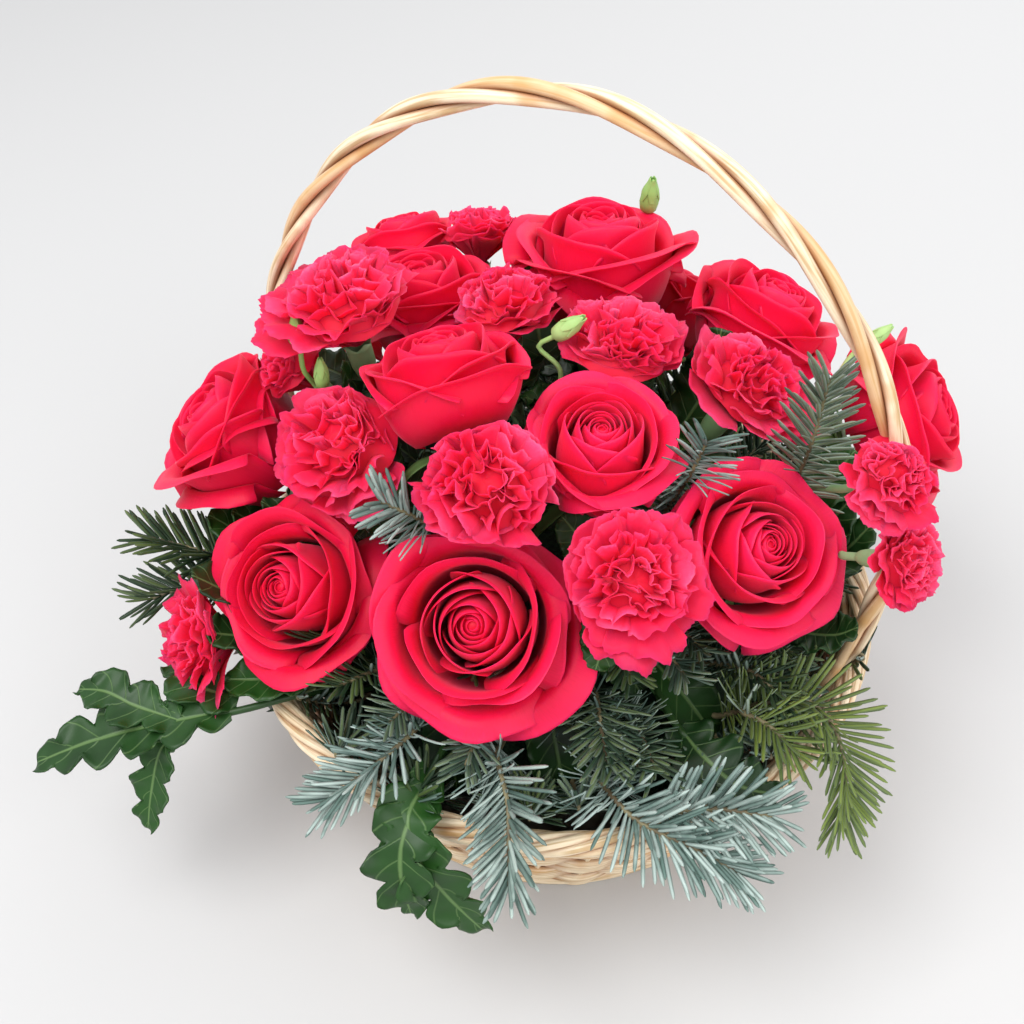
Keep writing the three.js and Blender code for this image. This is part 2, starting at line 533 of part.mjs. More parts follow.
function rememberHead(flower, solid) {   // the widest reach of a head at each height
  const profile = new Map();
  const { vertProperties, triVerts } = solid.getMesh();
  const corner = (k) => V(...vertProperties.slice(3 * k, 3 * k + 3));
  for (let k = 0; k < triVerts.length; k += 3) {
    const [a, b, c] = [0, 1, 2].map((m) => corner(triVerts[k + m]));
    for (const point of [a, b, c, middle([a, b]), middle([b, c]), middle([a, b, c])]) {
      const { slot, out } = beside(flower, point);
      for (const near of [slot - 1, slot, slot + 1]) {
        profile.set(near, Math.max(profile.get(near) ?? 0, out));
      }
    }
  }
  headShapes.push({ flower, profile });
}

// A twig whose rib is a slim six-sided core, with a pointed needle on each side at each step.
function firTwig(route, up, bare, number) {
  const curve = new THREE.CatmullRomCurve3(route);
  const steps = Math.round((curve.getLength() * (1 - bare)) / FIR.pitch);
  const stops = [...Array.from({ length: FIR.bareSteps }, (_, k) => (bare * k) / FIR.bareSteps),
    ...Array.from({ length: steps + 1 }, (_, k) => bare + ((1 - bare) * k) / steps)];
  const upward = V(...up).normalize();
  const frames = stops.map((s) => {
    const point = curve.getPointAt(s);
    const ahead = curve.getTangentAt(s);
    const side = ahead.clone().cross(upward).normalize();
    return { s, point, ahead, side, above: side.clone().cross(ahead) };
  });
  const points = [];
  const triangles = [];
  for (const { point, side, above } of frames) {
    const corner = (x, y) => point.clone().addScaledVector(side, x).addScaledVector(above, y);
    const half = FIR.blade / 2;
    points.push(corner(0, FIR.ridge), corner(FIR.rib, half), corner(FIR.rib, -half),
      corner(0, -FIR.ridge), corner(-FIR.rib, -half), corner(-FIR.rib, half));
  }
  for (let i = 0; i < frames.length - 1; i += 1) {
    for (let k = 0; k < 6; k += 1) {
      const [a, b] = [i * 6 + k, i * 6 + ((k + 1) % 6)];
      const [c, d] = [b + 6, a + 6];
      const leftOrRight = k === 1 ? 1 : -1;
      const bears = i >= FIR.bareSteps && (k === 1 || k === 4);
      const tip = bears && needleTip(frames, i, leftOrRight, bare, number);
      if (!tip) {
        triangles.push([a, b, c], [a, c, d]);
        continue;
      }
      const lift = tip.above.clone().multiplyScalar((leftOrRight * FIR.blade) / 2);
      const [n, m] = [points.length, points.length + 1];
      points.push(tip.point.clone().add(lift), tip.point.clone().sub(lift));
      triangles.push([a, n, d], [b, c, m], [a, b, m], [a, m, n], [c, d, n], [c, n, m]);
    }
  }
  const last = (frames.length - 1) * 6;
  const end = frames.at(-1);
  points.push(frames[0].point, end.point.clone().addScaledVector(end.ahead, FIR.tip));
  for (let k = 0; k < 6; k += 1) {
    const next = (k + 1) % 6;
    triangles.push([next, k, points.length - 2], [last + k, last + next, points.length - 1]);
  }
  reserve(frames.map((frame) => frame.point), CLEAR.twig);
  return toSolid(indexed(points, triangles));
}

// A needle's point. It is shortened until it is clear, and left out if it gets too short.
function needleTip(frames, i, leftOrRight, bare, number) {
  const { s, point, ahead, side, above } = frames[i];
  const share = (s - bare) / (1 - bare);
  const full = FIR.needle * mix(0.62, 1, Math.sin(Math.PI * (0.2 + 0.7 * share)));
  const sweep = radians(FIR.sweeps[i % 2]);
  const way = ahead.clone().multiplyScalar(Math.cos(radians(FIR.forward)))
    .addScaledVector(side, leftOrRight * Math.cos(sweep) * Math.sin(radians(FIR.forward)))
    .addScaledVector(above, Math.sin(sweep) * Math.sin(radians(FIR.forward)));
  const root = middle([point, frames[i + 1].point]);
  const along = (d) => root.clone().addScaledVector(way, d);
  let length = full;
  while (length > FIR.shortest && [0.35, 0.6, 0.8, 1].some((f) => blocked(along(length * f), number))) {
    length -= 2;
  }
  if (length <= FIR.shortest) return null;
  reserve([0.4, 0.7, 1].map((f) => along(length * f)), CLEAR.needle, number);
  return { point: along(length), above };
}

function firSpray(spray, number) {
  const foot = footing(spray.bearing, spray.tilt, FIR.ridge);
  const route = [...foot, ...spray.route.map((p) => V(...p))];
  const solids = [firTwig(route, spray.up, spray.bare, number)];
  for (const twig of spray.twigs) {
    solids.push(firTwig(twig.map((p) => V(...p)), spray.up, FIR.sideBare, number));
  }
  return fuse(solids);
}

// A lobed blade: its half width swells and narrows along the midrib.
function lobedBlade({ rib, half }, up) {
  const curve = new THREE.CatmullRomCurve3(rib.map((p) => V(...p)));
  const upward = V(...up).normalize();
  const grid = Array.from({ length: LEAF.rows + 1 }, (_, i) => {
    const s = i / LEAF.rows;
    const point = curve.getPointAt(s);
    const side = curve.getTangentAt(s).cross(upward).normalize();
    const above = side.clone().cross(curve.getTangentAt(s));
    const lobes = i % 3 === 0 ? LEAF.waist : 1;
    const width = half * lobes * Math.sin(Math.PI * mix(0.09, 0.93, s)) ** 0.6;
    return [-1, 0, 1].map((u) => point.clone().addScaledVector(side, u * width)
      .addScaledVector(above, LEAF.cup * width * u * u));
  });
  reserve(grid.flat(), CLEAR.leaf);
  return blade(grid, LEAF.blade);
}

function leafyStem(leaf) {
  const foot = footing(leaf.bearing, leaf.tilt, LEAF.stalk);
  const route = [...foot, ...leaf.stalk.map((p) => V(...p))];
  const solids = [tube(route, LEAF.stalk, 5, 6)];
  for (const one of leaf.blades) solids.push(lobedBlade(one, leaf.up));
  return fuse(solids);
}

// ---------------------------------------------------------------- the arrangement
const arrangement = new THREE.Group();

function addPiece(name, solid, color, roughness) {
  const material = new THREE.MeshStandardMaterial({ color, roughness, metalness: 0 });
  const mesh = new THREE.Mesh(toGeometry(solid), material);
  mesh.name = name;
  arrangement.add(mesh);
}

addPiece('basket_weave', basketWeave(), COLOUR.willow, 0.6);
addPiece('basket_rim', basketRim(), COLOUR.willow, 0.55);
for (let k = 0; k < 3; k += 1) addPiece(`handle_rod_${k + 1}`, handleRod(k), COLOUR.willow, 0.5);
addPiece('liner', liner(), COLOUR.liner, 0.5);
reserve(ARCH_POINTS, CLEAR.needleHandle);
ROSES.forEach((flower, k) => {
  const head = roseHead(flower, k);
  rememberHead(flower, head);
  addPiece(flower.name, head, COLOUR.rose, 0.55);
  addPiece(flower.name.replace('rose', 'rose_stem'), roseStem(flower), COLOUR.sepal, 0.6);
});
CARNATIONS.forEach((flower, k) => {
  const head = carnationHead(flower, k);
  rememberHead(flower, head);
  addPiece(flower.name, head, COLOUR.carnation, 0.6);
});
SPRAYS.forEach((spray) => addPiece(spray.name, sprayStem(spray), COLOUR.stem, 0.6));
LEAVES.forEach((leaf) => addPiece(leaf.name, leafyStem(leaf), COLOUR.leaf, 0.35));
FIRS.forEach((spray, k) => addPiece(spray.name, firSpray(spray, k), COLOUR.fir, 0.5));
addPiece('floral_foam', floralFoam(), COLOUR.foam, 0.9);

export default arrangement;
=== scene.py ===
# %% [markdown]
# # A basket of roses and carnations
# A florist's arrangement: a round willow basket with a handle of three twisted rods, lined with
# film, packed with wet foam and filled with red roses, spray carnations, noble fir and glossy
# lobed leaves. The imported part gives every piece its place. This lesson grows finer pieces on
# the same skeleton, because petals, needles and woven rods are what the eye reads first.

import math

import bpy
import numpy as np
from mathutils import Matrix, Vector
from mathutils.bvhtree import BVHTree


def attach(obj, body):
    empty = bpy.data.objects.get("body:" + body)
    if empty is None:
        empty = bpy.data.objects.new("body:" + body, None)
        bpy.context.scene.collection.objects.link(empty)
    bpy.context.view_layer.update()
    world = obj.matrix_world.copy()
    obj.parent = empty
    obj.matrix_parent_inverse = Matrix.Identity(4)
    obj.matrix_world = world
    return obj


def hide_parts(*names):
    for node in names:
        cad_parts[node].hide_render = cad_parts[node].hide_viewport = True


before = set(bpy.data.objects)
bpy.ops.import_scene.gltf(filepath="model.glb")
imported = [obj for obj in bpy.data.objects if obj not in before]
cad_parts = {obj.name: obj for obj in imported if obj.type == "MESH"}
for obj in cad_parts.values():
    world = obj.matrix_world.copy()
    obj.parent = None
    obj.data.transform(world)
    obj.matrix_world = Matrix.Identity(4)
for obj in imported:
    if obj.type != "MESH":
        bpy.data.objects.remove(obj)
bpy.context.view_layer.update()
print("nodes in the frame:", len(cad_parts))

# %% [markdown]
# ## Measures of the basket
# All measures are in millimetres until a mesh is made. The basket, the handle and the foam keep
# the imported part's own measures, so that the finer pieces land on the same places.

# %% Measures of the basket, the handle and the foam
MM = 0.001    # metres in a millimetre
BASKET = dict(base=100.0, top=131.0, height=84.5)
RIM = dict(radius=130.5, height=90.1)
# A handle rod: half its thickness, its turns over the arch, the share of its length that stays
# straight at each foot, how far the feet stand apart, and over what shares they fan and flatten.
ROD = dict(thick=2.2, twists=4.33, start=0.13, spread=5.4, fan=0.035, settle=0.015, flatten=0.04)
# The handle's middle line: half its span, where the arch springs from, its rise, how square it
# is, its first and last angle, and points (x, z) of a foot inside the wall.
ARCH = dict(half_span=134.5, spring=150.0, rise=166.0, square=1.04, first=8.0, last=172.0,
            foot=[(105.1, 36), (113, 62), (120.9, 88), (127, 110), (130.5, 136)])
FOAM = dict(radius=101.0, dome=54.0)
print("the handle's middle line rises to", ARCH["spring"] + ARCH["rise"], "mm")

# %% [markdown]
# ## Where every flower stands
# A florist pushes every stem toward one point deep in the foam, and the heads then spread into
# an even dome. So a flower is given by a bearing, a tilt from upright and a reach along that
# line, and then by the bearing and tilt that its face turns to and by its open radius.

# %% Measures of the flowers
FOCUS = np.array([0.0, 0.0, 60.0])
# Half a stem's thickness, and how far it stands in the foam and above it before it may bend
STEM = dict(rose=2.3, carnation=1.6, depth=24.0, proud=10.0)
UP = (0, 0, 1)
# How far a hip or a calyx lies below the face, in radii, and the room between it and the petals
ROSE_DEPTH, CARNATION_DEPTH, GAP = 1.38, 0.8, 0.3

# name: bearing, tilt, reach, face bearing, face tilt, radius
ROSES = {
    "rose_1": (-86, 42, 143, -74, 41, 38), "rose_2": (-126, 53, 155, -97, 43, 33),
    "rose_3": (-15, 39, 153, -34, 38, 33), "rose_4": (-44, 13, 153, -60, 13, 31),
    "rose_5": (-148, 16, 174, 140, 25, 30), "rose_6": (-162, 52, 187, -161, 46, 35),
    "rose_7": (104, 28, 182, 115, 13, 38), "rose_8": (155, 32, 172, 150, 14, 34),
    "rose_9": (58, 37, 179, 50, 26, 33), "rose_10": (38, 60, 194, 12, 58, 34),
    "rose_11": (143, 50, 197, 140, 30, 26), "rose_12": (89, 48, 167, 85, 50, 30),
}
CARNATIONS = {
    "carnation_1": (-170, 28, 185, -150, 10, 28), "carnation_2": (-138, 33, 160, -115, 32, 28),
    "carnation_3": (-92, 24, 157, -80, 32, 28), "carnation_4": (-51, 35, 155, -62, 39, 23),
    "carnation_5": (59, 10, 152, 9, 7, 25), "carnation_6": (148, 16, 158, 150, 14, 24),
    "carnation_7": (27, 27, 157, 10, 25, 24), "carnation_8": (-5, 39, 199, -45, 38, 18),
    "carnation_9": (-5, 50, 182, -20, 58, 15), "carnation_10": (-135, 72, 165, -134, 72, 21),
    "carnation_11": (-167, 40, 172, -160, 42, 19), "carnation_12": (132, 42, 179, 120, 30, 20),
}
# name: bearing, tilt, heads
SPRAYS = {
    "carnation_stem_1": (52, 55, (7, 8, 9)), "carnation_stem_2": (-66, 31, (3, 4)),
    "carnation_stem_3": (-154, 42, (1, 2, 10, 11)), "carnation_stem_4": (138, 21, (5, 6, 12)),
}
print(len(ROSES), "roses and", len(CARNATIONS), "carnations on", len(SPRAYS), "spray stems")

# %% [markdown]
# ## Small tools for directions
# Vectors are numpy arrays, so that one line can work on all the points of a petal at once.
# Soft steps and blends between two values come up in nearly every shape below.


# %% Directions and soft steps
def unit(v):
    return v / np.maximum(np.linalg.norm(v, axis=-1, keepdims=True), 1e-9)


def blend(a, b, t):
    return a + (b - a) * t


def ease(x, low, high):
    """0 below low, 1 above high, and a smooth step between."""
    t = np.clip((x - low) / (high - low), 0, 1)
    return t * t * (3 - 2 * t)


def polar(bearing, tilt):
    """The direction with a bearing from X, seen from above, and a tilt from upright."""
    b, t = math.radians(bearing), math.radians(tilt)
    return np.array([math.sin(t) * math.cos(b), math.sin(t) * math.sin(b), math.cos(t)])


print("a stem with tilt 42 rises by", round(polar(-86, 42)[2], 2), "of its length")

# %% [markdown]
# ## Smooth curves
# Stems, twigs and leaf ribs bend smoothly through a few given points. Blender's own
# curves could do that, but here each point also needs its sideways and upward directions, to
# hang needles and leaf blades on, so the curves are worked out in numpy.


# %% Curves and tubes
def spline(points, count, shares=None):
    """Evenly spaced points on a smooth curve through the given ones, or those at some shares."""
    p = np.asarray(points, float)
    ends = np.vstack([2 * p[0] - p[1], p, 2 * p[-1] - p[-2]])
    t = np.linspace(0, 1, 40, endpoint=False)[:, None]
    fine = []
    for a, b, c, d in zip(ends, ends[1:], ends[2:], ends[3:]):
        t0, t1, t2 = (max(np.linalg.norm(v) ** 0.5, 1e-4) for v in (b - a, c - b, d - c))
        m1 = t1 * ((b - a) / t0 - (c - a) / (t0 + t1) + (c - b) / t1)
        m2 = t1 * ((c - b) / t1 - (d - b) / (t1 + t2) + (d - c) / t2)
        cube = 2 * b - 2 * c + m1 + m2
        square = 3 * c - 3 * b - 2 * m1 - m2
        fine.append(cube * t**3 + square * t**2 + m1 * t + b)
    fine = np.vstack([*fine, p[-1:]])
    run = np.concatenate([[0], np.cumsum(np.linalg.norm(np.diff(fine, axis=0), axis=1))])
    wanted = run[-1] * (np.linspace(0, 1, count) if shares is None else np.asarray(shares))
    return np.stack([np.interp(wanted, run, fine[:, k]) for k in range(3)], -1)


def carried(path, up=(0.3, 0.2, 1.0)):
    """Forward, side and above directions at each point of a path, without sudden twists."""
    ahead = unit(np.gradient(path, axis=0))
    side = np.cross(ahead[0], up)
    sides = []
    for a in ahead:
        side = unit(side - a * (side @ a))
        sides.append(side)
    side = np.array(sides)
    return ahead, side, np.cross(side, ahead)


def circle(sides):
    """The cosines and sines of a ring's angles, without the last one, which is the first."""
    turn = np.linspace(0, 2 * math.pi, sides, endpoint=False)
    return np.cos(turn), np.sin(turn)


def tube(path, radii, sides=10):
    """Rings round a path, as a grid of rows along it and columns round it."""
    _, side, above = carried(path)
    cosine, sine = (part[None, :, None] for part in circle(sides))
    radii = np.broadcast_to(radii, len(path))[:, None, None]
    return path[:, None] + radii * (cosine * side[:, None] + sine * above[:, None])


def length_of(path):
    return float(np.linalg.norm(np.diff(path, axis=0), axis=1).sum())


test_curve = spline([(0, 0, 0), (10, 0, 5), (20, 0, 0)], 50)
print("a test curve is", round(length_of(test_curve), 1), "mm long")

# %% [markdown]
# ## A pile of grids becomes one mesh
# Petals, needles and rods are all grids of points. A Pile gathers them with numpy, which is far
# quicker than adding faces one by one. It also keeps named values at each point, called notes
# here, and Blender stores them as attributes that a material can read.


# %% The Pile
class Pile:
    def __init__(self):
        self.points, self.quads, self.notes, self.size = [], [], {}, 0

    def grids(self, points, wrap=False, caps=False, **notes):
        """Adds many alike grids at once: points has the shape (grids, rows, columns, 3)."""
        points = np.asarray(points, float)
        points = points.reshape((-1, *points.shape[-3:]))
        many, rows, cols, _ = points.shape
        index = self.size + np.arange(many * rows * cols).reshape(many, rows, cols)
        a, d = index[:, :-1], index[:, 1:]
        b, c = np.roll(a, -1, 2), np.roll(d, -1, 2)
        corners = np.stack([a, b, c, d], -1)
        self.quads.append((corners if wrap else corners[:, :, :-1]).reshape(-1, 4))
        if caps:
            self.close_end(index[:, 0], 1)
            self.close_end(index[:, -1], -1)
        self.points.append(points.reshape(-1, 3))
        for name in {**self.notes, **notes}:
            value = np.broadcast_to(notes.get(name, 0.0), (many, rows, cols)).reshape(-1)
            self.notes.setdefault(name, [np.zeros(self.size)] if self.size else []).append(value)
        self.size += many * rows * cols

    def close_end(self, ring, flip):
        """Lays quads across a ring with an even number of points, from one side to the other."""
        half = ring.shape[1] // 2
        there, back = ring[:, :half], ring[:, ::-1][:, :half]
        corners = [there[:, :-1], back[:, :-1], back[:, 1:], there[:, 1:]]
        self.quads.append(np.stack(corners[::flip], -1).reshape(-1, 4))

    def sheet(self, points, thick, **notes):
        """A thin closed sheet on one grid (rows, columns, 3), its last row drawn to an edge."""
        rows, cols = points.shape[:2]
        normal = unit(np.cross(np.gradient(points, axis=0), np.gradient(points, axis=1)))
        lift = 0.5 * thick * normal
        lift[-1] *= 0.15
        both = np.concatenate([points + lift, (points - lift)[:, ::-1]], 1)
        tip = np.concatenate([points[-1], points[-1][::-1]])[None]
        doubled = {}
        for name, value in notes.items():
            value = np.broadcast_to(value, (rows, cols))
            value = np.concatenate([value, value[:, ::-1]], 1)
            doubled[name] = np.concatenate([value, value[-1:]])
        self.grids(np.concatenate([both, tip])[None], wrap=True, **doubled)

    def joined(self):
        return np.vstack(self.points), np.vstack(self.quads)


test_pile = Pile()
test_pile.grids(tube(test_curve, 2.0, 8), wrap=True, caps=True)
print("a capped tube has", len(test_pile.joined()[1]), "quads")

# %% [markdown]
# ## From a pile to an object
# The mesh is filled with foreach_set, which hands whole arrays to Blender. The object then rides
# on the part's one body and hides the imported nodes that it stands for. TRIANGLES keeps the
# counts.

# %% Make an object of a pile
TRIANGLES = {}


def piece(name, pile, material, *nodes, slot):
    """One object from a pile, in metres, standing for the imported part's nodes."""
    points, quads = pile.joined()
    mesh = bpy.data.meshes.new(name)
    mesh.vertices.add(len(points))
    mesh.vertices.foreach_set("co", (points * MM).astype(np.float32).ravel())
    mesh.loops.add(4 * len(quads))
    mesh.loops.foreach_set("vertex_index", quads.astype(np.int32).ravel())
    mesh.polygons.add(len(quads))
    mesh.polygons.foreach_set("loop_start", np.arange(0, 4 * len(quads), 4, dtype=np.int32))
    mesh.polygons.foreach_set("use_smooth", np.ones(len(quads), bool))
    for note, values in pile.notes.items():
        attribute = mesh.attributes.new(note, "FLOAT", "POINT")
        attribute.data.foreach_set("value", np.concatenate(values).astype(np.float32))
    mesh.update(calc_edges=True)
    mesh.validate()
    mesh.materials.append(material.material)
    made = bpy.data.objects.new(name, mesh)
    bpy.context.scene.collection.objects.link(made)
    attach(made, "root")
    if nodes:
        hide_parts(*nodes)
    TRIANGLES[name] = 2 * len(quads)
    return made


def triangles(start="", end=""):
    """How many triangles the pieces have whose names start and end with these words."""
    return sum(n for name, n in TRIANGLES.items() if name.startswith(start) and name.endswith(end))


print("pieces so far:", len(TRIANGLES))

# %% [markdown]
# ## Shader maths written as sums
# A Wire is an output in a material's nodes. Adding or multiplying wires adds Math nodes, so that
# a pattern reads like the formula that it is, and the reflected forms let 1 - wire work too.


# %% Wires
class Wire:
    def __init__(self, finish, socket):
        self.finish, self.socket = finish, socket

    def maths(self, operation, *values):
        sockets = dict(enumerate(values))
        return self.finish.node("ShaderNodeMath", dict(operation=operation), sockets)

    def __add__(self, other):
        return self.maths("ADD", self, other)

    def __sub__(self, other):
        return self.maths("SUBTRACT", self, other)

    def __rsub__(self, other):
        return self.maths("SUBTRACT", other, self)

    def __mul__(self, other):
        return self.maths("MULTIPLY", self, other)

    __radd__, __rmul__ = __add__, __mul__

    def size(self):
        return self.maths("ABSOLUTE", self)

    def within(self, low, high):
        """0 below low, 1 above high, and a smooth step between."""
        return self.finish.node("ShaderNodeMapRange", dict(interpolation_type="SMOOTHSTEP"),
                                {"Value": self, "From Min": low, "From Max": high})


print("wires can be added, subtracted and multiplied")

# %% [markdown]
# ## Finishes
# A Finish is a material. One method adds any kind of node, and the others are short names for
# the few kinds that the finishes of this basket share: a note from the mesh, a noise, a mix of
# two colours and a relief. What varies over a surface goes into colour, roughness and normal
# alone, and every other socket gets one value.


# %% Finishes
class Finish:
    """A material: node() adds any node, settings first, then the values or wires of its sockets."""

    def __init__(self, name, **constants):
        self.material = bpy.data.materials.new(name)
        self.material.use_nodes = True
        self.tree = self.material.node_tree
        self.shader = self.tree.nodes["Principled BSDF"]
        self.surface(**constants)

    def node(self, kind, settings=None, sockets=None, output=0):
        made = self.tree.nodes.new(kind)
        for key, value in (settings or {}).items():
            setattr(made, key, value)
        for key, value in (sockets or {}).items():
            self.plug(made.inputs[key], value)
        return Wire(self, made.outputs[output])

    def plug(self, socket, value):
        if isinstance(value, Wire):
            self.tree.links.new(value.socket, socket)
        elif socket.type == "RGBA" and len(value) == 3:
            socket.default_value = (*value, 1.0)
        else:
            socket.default_value = value

    def surface(self, **sockets):
        """Plugs the main shader, so that base_color means its Base Color socket."""
        for name, value in sockets.items():
            socket = name.replace("_", " ").title().replace("Ior", "IOR")
            self.plug(self.shader.inputs[socket], value)

    def note(self, name):
        return self.node("ShaderNodeAttribute", dict(attribute_name=name), output="Fac")

    def vector(self, x, y, z):
        return self.node("ShaderNodeCombineXYZ", sockets=dict(X=x, Y=y, Z=z))

    def noise(self, scale, vector=None, detail=3.0):
        if vector is None:
            vector = self.node("ShaderNodeTexCoord", output="Object")
        return self.node("ShaderNodeTexNoise",
                         sockets={"Vector": vector, "Scale": scale, "Detail": detail})

    def mix(self, low, high, factor):
        """One colour turning into another. The colour sockets of a Mix node are its 6 and 7."""
        return self.node("ShaderNodeMix", dict(data_type="RGBA"), {0: factor, 6: low, 7: high},
                         output=2)

    def relief(self, height, distance, strength=1.0):
        """Bump from a height, with a distance in millimetres."""
        sockets = dict(Height=height, Distance=distance * MM, Strength=strength)
        self.surface(normal=self.node("ShaderNodeBump", sockets=sockets))


print("finishes are ready")

# %% [markdown]
# ## Willow
# The rods are peeled willow: pale straw with golden streaks along the grain, darker where rods
# age. Each rod carries its run, its girth and its number as notes, so the streaks follow it and
# differ from rod to rod. A further note is 1 deep between two rods, where the colour is darkened
# as painted shade. One rod of the handle is a browner one, as in most bundles of willow.

# %% The willow finish
HONEY, CREAM, GOLD = (0.54, 0.37, 0.19), (0.84, 0.70, 0.50), (0.56, 0.27, 0.08)
TOAST, SEAM_SHADE_BROWN = (0.60, 0.32, 0.11), (0.30, 0.10, 0.035)
# The first number of each kind of rod, and the browner one's own
WEAVERS, UPRIGHTS, BASE_RINGS, BASE_SPOKES, FOOT_RODS = 0, 50, 100, 150, 170
BORDER_RODS, BORDER_CORE, UNDER_RODS, HANDLE_RODS, BROWNER = 200, 210, 211, 220, 222

willow = Finish("peeled_willow", roughness=0.42, specular_ior_level=0.4)
along, girth, rod, seam = (willow.note(n) for n in ("along", "girth", "rod", "seam"))
streaks = willow.noise(6.0, willow.vector(along * 0.006, girth * 0.9, rod), 4.0)
patches = willow.noise(2.2, willow.vector(along * 0.025, rod * 3.0, 0.5), 2.0)
straw = willow.mix(HONEY, CREAM, streaks.within(0.32, 0.60))
golden = willow.mix(straw, GOLD, patches.within(0.5, 0.72) * 0.7)
toasted = willow.mix(golden, TOAST, rod.within(BROWNER - 0.8, BROWNER - 0.2) * 0.55)
# Painted shade: the colour turns deep brown between rods, where they touch and shade each other.
willow.surface(base_color=willow.mix(toasted, SEAM_SHADE_BROWN, seam * 0.85), roughness=0.36 + 0.2 * streaks)
willow.relief(streaks, 0.25, 0.5)
print("willow has", len(willow.tree.nodes), "nodes")

# %% [markdown]
# ## Laying a rod
# Every rod of the basket is a tube on a path, with its notes. Rings round the basket's axis are
# the commonest path. The wall leans outward a little, so its radius grows with the height.


# %% Rods and rings
def rod_notes(path, number, sides):
    run = np.concatenate([[0], np.cumsum(np.linalg.norm(np.diff(path, axis=0), axis=1))])
    girth = np.abs(np.linspace(-1, 1, sides))
    return dict(along=run[:, None], girth=girth[None, :], rod=float(number))


def lay_rod(pile, path, thick, sides, number, **notes):
    pile.grids(tube(path, thick, sides), wrap=True, **rod_notes(path, number, sides), **notes)


def ring_path(radius, height, turn):
    shape = 0 * turn
    return np.stack([radius * np.cos(turn), radius * np.sin(turn), height + shape], -1)


def wall_at(z):
    return blend(BASKET["base"], BASKET["top"], z / BASKET["height"])


print("the wall's radius halfway up is", wall_at(BASKET["height"] / 2), "mm")

# %% [markdown]
# ## The woven wall
# On the real basket bands of willow rods pass in front of one upright stake and behind the next,
# and each band sits half a step on from the band below. Tubes that swing in and out do exactly
# that, and they leave the small dark gaps at the stakes that flat relief can't.

# %% Weave the wall
STAKES, BANDS, RODS = 36, 5, 5          # stakes round the wall, bands up it, rods in a band
WEAVER, STAKE, SWING = 1.72, 1.5, 1.75  # half thicknesses, and how far a weaver swings
INSET = SWING + WEAVER + 0.2            # how far inside the wall's face the stakes stand


def weave_bands(pile):
    rows = BANDS * RODS
    step = BASKET["height"] / rows
    rng = np.random.default_rng(4)
    turn = np.linspace(0, 2 * math.pi, STAKES * 6 + 1)
    for row in range(rows):
        z = (row + 0.5) * step
        swing = SWING * np.cos(turn * STAKES / 2 + math.pi * (row // RODS))
        slow, quick = rng.uniform(0, 6), rng.uniform(0, 6)
        wander = 0.3 * np.sin(turn * 5 + slow) + 0.2 * np.sin(turn * 11 + quick)
        level = row in (0, rows - 1)
        path = ring_path(wall_at(z) - INSET + swing, z if level else z + wander, turn)
        thick = WEAVER * rng.uniform(0.92, 1.06)
        rings = tube(path, thick, 8)
        # Painted shade: a weaver is darkened where it dips in behind a stake.
        depth = np.hypot(rings[..., 0], rings[..., 1]) - wall_at(z) + SWING + WEAVER
        lay_rod(pile, path, thick, 8, WEAVERS + row, seam=0.8 - 0.8 * ease(depth, 0.2, 2.6))


def set_stakes(pile):
    for stake in range(STAKES):
        turn = 2 * math.pi * stake / STAKES
        z = np.linspace(1.6, BASKET["height"] + 3, 12)
        radius = wall_at(z) - INSET
        path = np.stack([radius * math.cos(turn), radius * math.sin(turn), z], -1)
        lay_rod(pile, path, STAKE, 7, UPRIGHTS + stake)


print(BANDS * RODS, "weavers pass", STAKES, "stakes")

# %% [markdown]
# ## The base
# The base of such a basket is woven flat: rings of rod pass over and under twelve spokes, and
# two stout rods run round the foot where the stakes turn up. Nobody sees it from the front, but
# the part can be picked up and turned over.

# %% Weave the base
SPOKES, RING_STEP = 12, 3.1


def weave_base(pile):
    turn = np.linspace(0, 2 * math.pi, 97)
    for k, radius in enumerate(np.arange(6, BASKET["base"] - 3, RING_STEP)):
        path = ring_path(radius, 2.9 + 0.9 * np.cos(turn * SPOKES + math.pi * k), turn)
        lay_rod(pile, path, 1.9, 6, BASE_RINGS + k)
    for k in range(SPOKES):
        turn = math.pi * k / SPOKES
        x = np.linspace(-97, 97, 9)
        path = np.stack([x * math.cos(turn), x * math.sin(turn), 3.0 + 0 * x], -1)
        lay_rod(pile, path, 1.6, 6, BASE_SPOKES + k)
    turn = np.linspace(0, 2 * math.pi, 145)
    for k, (inset, height) in enumerate(((2.3, 2.4), (5.6, 2.6))):
        lay_rod(pile, ring_path(BASKET["base"] - inset, height, turn), 2.3, 10, FOOT_RODS + k)


wall = Pile()
weave_bands(wall)
set_stakes(wall)
weave_base(wall)
piece("basket_wall", wall, willow, "basket_weave", slot="willow")
print("wall and base triangles:", triangles("basket"))

# %% [markdown]
# ## The rolled border
# The stakes' ends are bent over and rolled round each other along the rim, so the border shows
# as rods that slant round a ring. Six strands wind about the rim's middle line, over a core rod
# that closes the view between them, and two plain rods finish the wall just below.

# %% Roll the border
STRANDS, WINDINGS, ORBIT = 6, 9, 3.15    # ORBIT: from the rim's middle line to a strand's
# The plain rods below the border: height, radius, half thickness
UNDER_BORDER = [(85.4, 129.6, 1.8), (86.2, 124.9, 1.7)]


